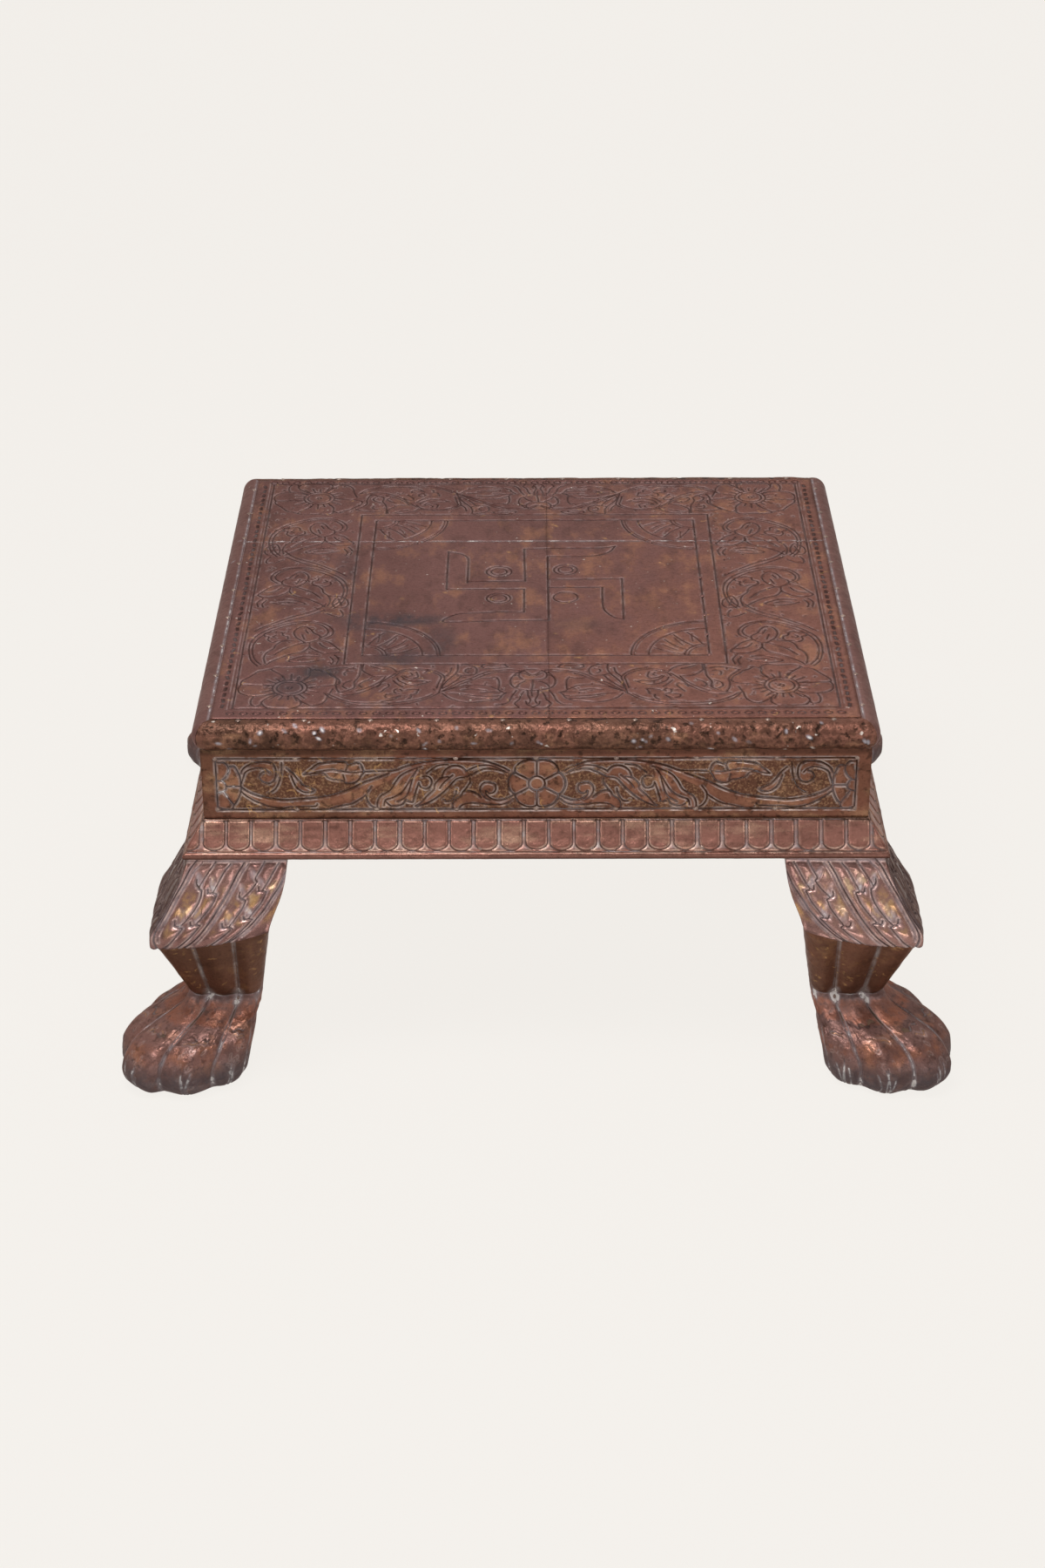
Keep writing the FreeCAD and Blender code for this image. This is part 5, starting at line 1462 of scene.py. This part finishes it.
# %% Knee covers
KNEE_LINES = [
    [(.90, .01), (.956, .144), (.986, .39), (.99, .675), (.971, .9), (.95, 1)],
    [(.426, .06), (.479, .21), (.507, .37), (.534, .56), (.557, .725), (.595, .86), (.66, .95), (.73, 1.01)],
    [(.0, .19), (.038, .38), (.086, .55), (.117, .7), (.174, .84), (.26, .94), (.35, 1.02)],
]
KNEE_TWINS = [
    [(.85, .05), (.915, .18), (.95, .4), (.955, .68), (.935, .9)],
    [(.385, .07), (.44, .21), (.468, .37), (.495, .56), (.52, .73), (.56, .87), (.63, .97)],
    [(.0, .28), (.03, .42), (.055, .55), (.085, .7), (.14, .85), (.22, .95)],
]
KNEE_NOTCHED = [
    [(.713, .04), (.76, .16), (.795, .27), (.80, .34), (.765, .37)],
    [(.765, .37), (.745, .45), (.745, .55), (.775, .68), (.80, .74), (.765, .765)],
    [(.765, .765), (.79, .85), (.84, .94), (.9, 1)],
    [(.80, .34), (.84, .30), (.855, .25)], [(.80, .74), (.845, .73), (.875, .68)],
    [(.222, .045), (.255, .15), (.29, .26), (.265, .31)],
    [(.265, .31), (.30, .40), (.335, .45), (.35, .49), (.315, .52)],
    [(.315, .52), (.315, .62), (.345, .74), (.36, .80), (.33, .83)],
    [(.33, .83), (.39, .91), (.464, .985), (.53, 1.04)],
    [(.35, .49), (.39, .46), (.40, .41)], [(.36, .80), (.41, .80), (.44, .75)],
    [(.56, .07), (.61, .17), (.64, .30), (.65, .39), (.61, .415)],
    [(.61, .415), (.61, .52), (.64, .64), (.665, .72), (.625, .745)],
    [(.625, .745), (.665, .86), (.73, .95), (.80, 1.02)],
    [(.65, .39), (.69, .40), (.71, .36)], [(.665, .72), (.70, .74), (.73, .70)],
    [(.08, .07), (.125, .2), (.165, .33), (.19, .42), (.15, .45)],
    [(.15, .45), (.165, .58), (.20, .69), (.215, .75), (.18, .775)],
    [(.18, .775), (.235, .87), (.31, .96), (.40, 1.03)],
    [(.19, .42), (.225, .42), (.24, .37)], [(.215, .75), (.25, .75), (.275, .71)],
]
KNEE_GAPS = [(.805, .31), (.815, .71), (.295, .265), (.355, .465), (.365, .775), (.655, .36), (.675, .695),
             (.2, .39), (.225, .725)]
FACE_WIDE, FACE_HIGH = 76.0, 66.0
KNEE_ROWS, FACE_COLUMNS, BACK_COLUMNS = 121, 128, 28


def knee_grid(rows, inset, outer_cols, inner_cols):
    """Points of the knee, row by row from its top, and for each where it lies on an outer face."""
    levels = np.array(KNEE_LEVELS)
    knots = np.append(0, np.cumsum(np.hypot(np.diff(levels[:, 0]) * 56, np.diff(levels[:, 1]) * KNEE_FLARE)))
    span = MOULDING_LOW - KNEE_LOW
    sizes = np.stack([MOULDING_LOW - levels[:, 0] * span, levels[:, 1] * KNEE_FLARE,
                      levels[:, 2] * KNEE_SLANT,
                      levels[:, 3] * KNEE_BELLY], 1)
    dense = spline(knots, sizes, heights_between(knots, (0, knots[-1]), 400))
    f = np.arange(outer_cols) / outer_cols
    g = np.arange(inner_cols) / inner_cols
    share = np.concatenate([f, 1 - f, g * 0 - 1, g * 0 - 1])
    column = np.arange(len(share))
    walls = [column < end for end in (outer_cols, 2 * outer_cols, 2 * outer_cols + inner_cols)]
    third_wall = np.concatenate([np.zeros(2 * outer_cols), g, np.zeros(inner_cols)])
    last_wall = np.append(np.zeros(len(share) - inner_cols), g)

    def at_height(z):
        out, slant, belly = (np.interp(-z, -dense[:, 0], dense[:, k]) for k in (1, 2, 3))
        a, b = out - inset, -KNEE_WIDTH + slant + inset
        bow = belly * (1 - (2 * share - 1) ** 2)
        u = np.select(walls, [a + bow, b + (a - b) * share, b + 0 * a], b + (a - b) * last_wall)
        v = np.select(walls, [b + (a - b) * share, a + bow, a + (b - a) * third_wall], b + 0 * a)
        return u, v
    z = np.full(len(share), KNEE_LOW + 4.0)
    for _ in range(12):
        u, v = at_height(z)
        z = edge_height(np.clip((u - v) / math.sqrt(2), -75, 75))
    down = np.linspace(0, 1, rows)[:, None]
    z = MOULDING_LOW - down * (MOULDING_LOW - z[None, :])
    u, v = zip(*[at_height(row) for row in z])
    return np.stack([u, v, z], -1), share[None, :] + 0 * z, down + 0 * z


knee_field = Relief((-2, -2), (FACE_WIDE + 2, FACE_HIGH + 4), 0.25)
knee_field.swells = True
for lines, width, depth in ((KNEE_LINES, 2.2, 1.0), (KNEE_TWINS, 1.3, 0.55), (KNEE_NOTCHED, 1.6, 1.0)):
    for line in lines:
        knee_field.chase(smooth([(a * FACE_WIDE, b * FACE_HIGH) for a, b in line], 0.8), width, depth)
knee_field.chase([(0, 2.4), (FACE_WIDE, 2.4)], 1.3, 0.6)


def knee_cover(corner, seed):
    outer, share, down = knee_grid(KNEE_ROWS, 0, FACE_COLUMNS, BACK_COLUMNS)
    inner = knee_grid((KNEE_ROWS - 1) // STRIDE + 1, SHEET, FACE_COLUMNS // STRIDE,
                      BACK_COLUMNS // STRIDE)[0]
    face = share >= 0
    u, v = np.clip(share, 0, 1) * FACE_WIDE, down * FACE_HIGH
    dents = Relief((-1, -1), (FACE_WIDE * 2 + 2, FACE_HIGH + 2), 0.4)
    hammer(dents, (0, 0), (FACE_WIDE * 2, FACE_HIGH), 170, (2, 7), (0.05, 0.25), seed)
    wide = np.where(np.arange(outer.shape[1]) < FACE_COLUMNS, u, 2 * FACE_WIDE - u)
    swell = soft_step(v, 3.5, 9) * knee_field.read(pillow(knee_field.near, 7), u, v)
    gap = np.zeros(u.shape)
    for a, b in KNEE_GAPS:
        off_u, off_v = u - a * FACE_WIDE, v - b * FACE_HIGH
        gap = np.maximum(gap, soft_step(-np.hypot(off_u + 0.45 * off_v, 0.5 * off_v) - 0.25 * off_v, -3.2,
                                        -1.6))
    push = 1.7 * swell * (1 - 0.7 * gap) - 0.52 * knee_field.read(knee_field.line, u,
                                                                  v) + dents.read(dents.lift, wide, v)
    push = np.where(face, push, dents.read(dents.lift, v + 30, v)) * np.clip(down * 20, 0, 1)
    corner_line = np.clip(1 - np.abs(share) * FACE_WIDE / 3, 0, 1) * face
    push = push * (1 - corner_line)
    push *= np.where(face, 1, 0.4) * (1 - 0.6 * soft_step(share, 0.985, 1.0))
    normal = facing(outer, True, np.array([(KNEE_FLARE - KNEE_WIDTH) / 2] * 2 + [135]))
    normal[..., 2] *= np.clip(down * 12, 0, 1)
    outer = outer + normal * np.clip(push, -0.52, 1.6)[..., None]
    outer[..., 2] = np.minimum(outer[..., 2], MOULDING_LOW)
    near = knee_field.read(knee_field.near, u, v)
    # Painted shade: the side face of each knee is darkened, with less pale polish and fewer lit edges, as a
    # face turned from the light. front is 1 on the front face and 0.45 on the side face. Rubbed shine and
    # golden sheen are kept to a band in the middle of the feathers, as painted highlight where their swell
    # catches the light.
    front = 0.45 + 0.55 * (np.arange(outer.shape[1]) >= FACE_COLUMNS)
    middle_band = front * soft_step(near, 1.8, 4) * soft_step(v, 8, 18) * soft_step(-v, -56, -44)
    layers = {"line": knee_field.read(knee_field.line, u, v) * face,
              "worn_lit_edge": knee_field.read(worn_lit_edge(knee_field.near, 1.0), u, v) * face * front,
              "haze": face * front * np.maximum(np.maximum(0.6 * soft_step(-near, -2.8, -0.3), 0.8 * gap),
                                                0.5 * soft_step(-v, -6, -1)),
              # Painted golden highlight on the lower middle of the front feathers.
              "scratches_and_sheen": 0.65 * face * (front > 0.9) * soft_step(near, 2, 5) * soft_step(v, 18, 32)
              * soft_step(-v, -60, -48),
              "calm": 1 - middle_band * face,
              # Painted shade along the lines, on the side and back faces, and as a dark line at the lower
              # edge.
              "painted_shade": np.maximum(np.maximum(0.9 - 0.9 * pillow(near, 2.4),
                                              2.4 * (1.0 - front) + 0.3 * (1 - face)),
                                   0.9 * soft_step(down, 0.965, 0.99))}
    return shell(f"feather_knee_{corner}", mirrored(outer, corner), mirrored(inner, corner), layers,
                 around=True)


for k, corner in enumerate(CORNERS):
    settle(knee_cover(corner, 60 + k), f"knee_cover_{corner}", KNEE_COPPER)

# %% [markdown]
# The shin is plain sheet, drawn in at the ankle, with grooves between flutes that swell slightly.
# Pale polish has gathered at the foot of each groove.

# %% Shin sleeves


def shin_sleeve(corner, seed):
    rows, columns = 89, 264
    at = spread(SHIN_OUTLINE, columns)

    def walls(inset, pick):
        spots = at[0][::pick], at[1][::pick]
        low = section(ANKLE_OUTLINE, ANKLE_OUT, ANKLE_IN, inset, spots)
        high = section(SHIN_OUTLINE, SHIN_OUT, SHIN_IN, inset, spots)
        top = KNEE_LOW + KNEE_RISE + 3.0
        z = np.full(len(low), KNEE_LOW + 4.0)
        for _ in range(12):
            spot = low + (high - low) * ((z - ANKLE_HEIGHT) / (top - ANKLE_HEIGHT))[:, None]
            z = edge_height(np.clip((spot[:, 0] - spot[:, 1]) / math.sqrt(2), -75, 75))
        z = ANKLE_HEIGHT + np.linspace(0, 1, (rows - 1) // pick + 1)[:, None] * (z - 0.05
                                                                                 - ANKLE_HEIGHT)[None, :]
        share = ((z - ANKLE_HEIGHT) / (top - ANKLE_HEIGHT))[..., None]
        return np.concatenate([low[None] + (high - low)[None] * share, z[..., None]], -1)
    outer, inner = walls(0, 1), walls(SHEET, 4)
    up_share = np.linspace(0, 1, rows)[:, None] * np.ones((1, columns))
    line, haze = np.zeros(outer.shape[:2]), np.zeros(outer.shape[:2])
    near = np.full(outer.shape[:2], 20.0)
    total = len(whole(SHIN_OUTLINE))
    above = outer[..., 2] - ANKLE_HEIGHT
    for index in (2, 4, total - 2, total - 4):
        away = np.abs(from_column(outer, int(np.argmin(np.abs(at[0] + at[1] - index)))))
        near = np.minimum(near, away)
        line = np.maximum(line, soft_step(-away, -1.4, -0.1))
        haze = np.maximum(haze, 0.75 * soft_step(-away, -2.4, -0.2))
        haze = np.maximum(haze, 1.9 * soft_step(-np.hypot(away, above * 0.7), -6.5, -0.5))
    seam = soft_step(-up_share, -0.016, 0)
    dents = Relief((0, 0), (columns, rows), 1.0)
    hammer(dents, (0, 0), (columns, rows), 240, (4, 15), (0.05, 0.2), seed)
    cols = np.arange(columns)[None, :] + 0 * up_share
    lines = np.arange(rows)[:, None] + 0 * up_share
    marks = Relief((0, 0), (columns, rows), 0.5)
    for stroke in scratches(np.random.default_rng(seed + 5), (0, 6), (columns, rows - 4), 130, (1, 4), 1.8):
        marks.chase(stroke, 1.5, 0.8)
    push = 0.8 * pillow(near, 9) - 0.5 * line + dents.read(dents.lift, cols, lines)
    push *= soft_step(-up_share, -1, -0.93) * soft_step(up_share, 0, 0.07)
    outer = outer + facing(outer, True, np.array([-12.0, -12.0, 85])) * np.clip(push, -0.5, 1.2)[..., None]
    # Painted shade darkens the grooves and the sheet beside them.
    layers = {"line": line * 0.45, "haze": np.maximum(haze, 0.9 * seam),
              "scratches_and_sheen": 0.7 * marks.read(marks.line, cols, lines), "painted_shade": 0.55 - 0.55 * pillow(near, 6)}
    return shell(f"shin_sleeve_skin_{corner}", mirrored(outer, corner), mirrored(inner, corner), layers,
                 around=True)


for k, corner in enumerate(CORNERS):
    settle(shin_sleeve(corner, 80 + k), f"shin_sleeve_{corner}", SHIN_COPPER)

# %% [markdown]
# On the paw the grooves of the shin run on between the toes. Each toe dips above its knuckle and
# swells again towards its tip, where it carries fine creases. Every toe has its own small chart,
# in mm from its middle and from the floor, on which these are drawn. Pale dried polish has
# gathered where the toes meet.

# %% Paw covers
TOE_SWELL = [(0, 0.8), (8, 1.2), (18, 1.6), (28, 1.55), (34, 1.3), (37, 0.4), (39, 0.05), (41.5, 0.5),
             (46, 1.0), (53, 1.0), (60, 0.8)]
TOES = ((3, 11.5), (-3, 11.5), (0, 10.0), (5, 7.5), (-5, 7.5))


def toe_chart(dice, half_width):
    """The creases of one toe: one across it over the knuckle, and fine ones on its tip."""
    chart = Relief((-16, 0), (16, 60), 0.25)
    chart.swells = True
    level = 38 + dice.normal(0, 1.2)
    crease = [(u * half_width, level - 0.02 * (u * half_width) ** 2 + dice.normal(0, 0.5))
              for u in np.linspace(-0.8, dice.uniform(0.3, 0.75), 6)]
    chart.chase(smooth(crease, 0.8), 1.0, 0.4)
    chart.chase(ring((dice.normal(0, 1.5), 24 + dice.normal(0, 1.5)), 1.6, 0.8), 1.1, 0.5)
    for stroke in scratches(dice, (-0.75 * half_width, 9), (0.75 * half_width, 33), 12, (1, 3), 1.6):
        chart.chase(smooth(stroke, 0.6), 0.9, 0.35)
    for u in dice.uniform(-0.6, 0.6, 4) * half_width:
        chart.chase(smooth([(u, 2), (u + dice.normal(0, 0.9), 9),
                            (u + dice.normal(0, 1.5), dice.uniform(13, 25))],
                           0.8), 2.1, 1.0)
    return chart


def paw_grid(rows, inset, at):
    levels = []
    for height, out_share, in_share, toe in PAW_LEVELS:
        outline = [(a[0] + (b[0] - a[0]) * toe, a[1] + (b[1] - a[1]) * toe)
                   for a, b in zip(ANKLE_OUTLINE, PAW_OUTLINE)]
        out = ANKLE_OUT + (PAW_OUT - ANKLE_OUT) * out_share
        inward = ANKLE_IN + (PAW_IN - ANKLE_IN) * in_share
        ring_points = section(outline, out, inward, inset, at)
        levels.append(np.hstack([ring_points, np.full((len(ring_points), 1), ANKLE_HEIGHT * height)]))
    levels = np.array(levels)
    gaps = np.linalg.norm(np.diff(levels, axis=0), axis=2).mean(1)
    knots = np.append(0, np.cumsum(gaps))
    flat = levels.reshape(len(levels), -1)
    dense = spline(knots, flat, heights_between(knots, (0, knots[-1]), 300)).reshape(300, -1, 3)
    heights = dense[:, 0, 2]
    last = np.interp(-SOLE_EDGE, -heights, np.linspace(0, knots[-1], 300))
    return spline(knots, flat, heights_between(knots, (0, last), rows)).reshape(rows, -1, 3)


def paw_cover(corner, seed):
    rows, columns = 173, 520
    at = spread(PAW_OUTLINE, columns)
    outer = paw_grid(rows, 0, at)
    inner = paw_grid((rows - 1) // STRIDE + 1, SHEET, (at[0][::4], at[1][::4]))
    z = outer[..., 2]
    dice = np.random.default_rng(seed)
    line, haze = np.zeros(z.shape), np.zeros(z.shape)
    near = np.full(z.shape, 20.0)
    total = len(whole(PAW_OUTLINE))
    for index in (2, 4, 6, total - 2, total - 4, total - 6):
        away = from_column(outer, int(np.argmin(np.abs(at[0] + at[1] - index))))
        away = np.abs(away + 0.6 * np.sin(z / 5 + index) * soft_step(-z, -50, -40))
        near = np.minimum(near, away)
        deep = 1.0 if index not in (6, total - 6) else soft_step(-z, -40, -30)
        line = np.maximum(line, deep * soft_step(-away, -1.5, -0.1))
        foot = soft_step(-z, -20, -8)
        haze = np.maximum(haze, deep * (0.8 + 0.7 * foot) * soft_step(-away, -2.6 - 1.2 * foot, -0.2))
        haze = np.maximum(haze, 1.9 * soft_step(-np.hypot(away, (ANKLE_HEIGHT - z) * 0.5), -6, -0.5))
    creases, crease_near, fold = np.zeros(z.shape), np.full(z.shape, NEAR_LIMIT), np.zeros(z.shape)
    swell = np.interp(z, *np.transpose(TOE_SWELL))
    for index, half_width in TOES:
        away = from_column(outer, int(np.argmin(np.abs(at[0] + at[1] - index % total))))
        chart, here = toe_chart(dice, half_width), np.abs(away) < half_width + 1
        high = z + dice.normal(0, 1) + 0.08 * away
        swell = np.where(here, np.interp(high, *np.transpose(TOE_SWELL)), swell)
        creases = np.maximum(creases, here * chart.read(chart.line, away, z))
        crease_near = np.where(here, chart.read(chart.near, away, z), crease_near)
        bent = high + 0.5 * np.sin(away * 0.8 + index)
        fold = np.maximum(fold, here * soft_step(-np.abs(bent - 38.5), -1.1, -0.1)
                          * soft_step(-np.abs(away), -0.95 * half_width, -0.6 * half_width))
    dents = Relief((0, 0), (columns, rows), 1.0)
    hammer(dents, (0, 0), (columns, rows), 520, (3, 12), (0.08, 0.36), seed)
    cols = np.arange(columns)[None, :] + 0 * z
    lines = np.arange(rows)[:, None] + 0 * z
    push = swell * pillow(near, 8) - 0.5 * line - 0.4 * creases - 0.3 * fold + dents.read(dents.lift, cols,
                                                                                          lines)
    push *= soft_step(-z, -ANKLE_HEIGHT, -ANKLE_HEIGHT + 3) * soft_step(z, SOLE_EDGE, 3)
    middle = np.array([(ANKLE_OUT - ANKLE_IN) / 2] * 2 + [25])
    outer = outer + facing(outer, True, middle) * np.clip(push, -0.5, 1.6)[..., None]
    outer[..., :2] = np.minimum(outer[..., :2], PAW_OUT - 0.1)
    outer[..., 2] = np.maximum(outer[..., 2], SOLE_EDGE)
    seam = soft_step(z, ANKLE_HEIGHT - 0.9, ANKLE_HEIGHT - 0.2)
    low = soft_step(-z, -30, -11)
    foot = creases * soft_step(-z, -26, -17)
    # A warmer, lighter colour on the toe bulges and on the top of the paw: partly the copper's own tone and
    # partly painted highlight where they face the light.
    warm_tone_and_sheen = (0.4 * soft_step(z, 20, 27) * soft_step(-z, -37, -33)
              + 0.7 * soft_step(z, 39, 43) * soft_step(-z, -56, -50))
    # Painted shade lies along the grooves and as a soft dark band under the knuckle crease, with a thin
    # painted golden highlight on the crease itself. The lower paw is darkened towards the floor.
    layers = {"line": np.maximum(np.maximum(0.5 * line, 0.7 * fold), 0.8 * creases * (z > 22)),
              "ground": 0.4 * low,
              "haze": np.maximum(np.maximum(haze, 0.9 * seam),
                                 np.maximum(0.25 * low + 0.2 * soft_step(z, 39, 46),
                                                                          1.6 * foot)),
              "worn_lit_edge": 0.3 * worn_lit_edge(crease_near, 0.6), "scratches_and_sheen": 0.5 * soft_step(creases, 0.2, 0.4) * (z > 34),
              "tone": warm_tone_and_sheen, "stain": 0.75 * low * pillow(near, 4),
              "painted_shade": np.maximum(np.maximum(0.5 - 0.5 * pillow(near, 6), 0.8 * low), 0.6 * fold)}
    return shell(f"lion_paw_{corner}", mirrored(outer, corner), mirrored(inner, corner), layers, around=True)


for k, corner in enumerate(CORNERS):
    settle(paw_cover(corner, 100 + k), f"paw_cover_{corner}", PAW_COPPER)

# %% [markdown]
# The wood shows only from below and at the back of the knees. It is old brown hardwood, with grain
# along each piece. The wooden pieces and the pins keep the shapes of the CAD model.

# %% Wood and pins


def wood(name, light, dark, along):
    """Brown hardwood with its grain along one axis."""
    material = bpy.data.materials.new(name)
    tree = nodes_of(material)
    place = tree.nodes.new("ShaderNodeTexCoord").outputs["Object"]
    stretch = [9.0, 9.0, 9.0]
    stretch["xyz".index(along)] = 0.6
    grain = noise(tree, place, 12, 6, 0.65, stretch)
    pores = noise(tree, place, 90, 2, 0.6, stretch)
    shade = mixed(tree, ramp(tree, grain, 0.35, 0.65), colour(dark), colour(light))
    shade = laid(tree, shade, ramp(tree, pores, 0.55, 0.7), 0.5, "1c120c")
    skin = tree.nodes.new("ShaderNodeBsdfPrincipled")
    tree.links.new(shade, skin.inputs["Base Color"])
    skin.inputs["Roughness"].default_value = 0.75
    bump = tree.nodes.new("ShaderNodeBump")
    bump.inputs["Strength"].default_value = 0.4
    bump.inputs["Distance"].default_value = 0.0006
    tree.links.new(grain, bump.inputs["Height"])
    tree.links.new(bump.outputs[0], skin.inputs["Normal"])
    tree.links.new(skin.outputs[0], tree.nodes.new("ShaderNodeOutputMaterial").inputs["Surface"])
    return material


WOOD_X = wood("hardwood along x", "5c4330", "3a281b", "x")
WOOD_Y = wood("hardwood along y", "5a4130", "38271b", "y")
WOOD_Z = wood("hardwood upright", "563d2b", "352417", "z")
for name, node in nodes.items():
    if name.startswith(("leg_", "board_dowels")):
        dress = WOOD_Z
    elif name.startswith(("top_plank", "front_rail", "back_rail", "base_moulding_front",
                          "base_moulding_back")):
        dress = WOOD_X
    elif name.startswith(("left_rail", "right_rail", "base_moulding", "rail_pegs")):
        dress = WOOD_Y
    elif name.endswith("_pins"):
        dress = SIDE_COPPER if name.startswith("top") else PIN_COPPER
    else:
        continue
    for slot in node.material_slots:
        slot.material = dress
print("wood and pins dressed")

# %% [markdown]
# Last, the colours are shown as they are.

# %% Finish
bpy.context.scene.view_settings.view_transform = "Standard"
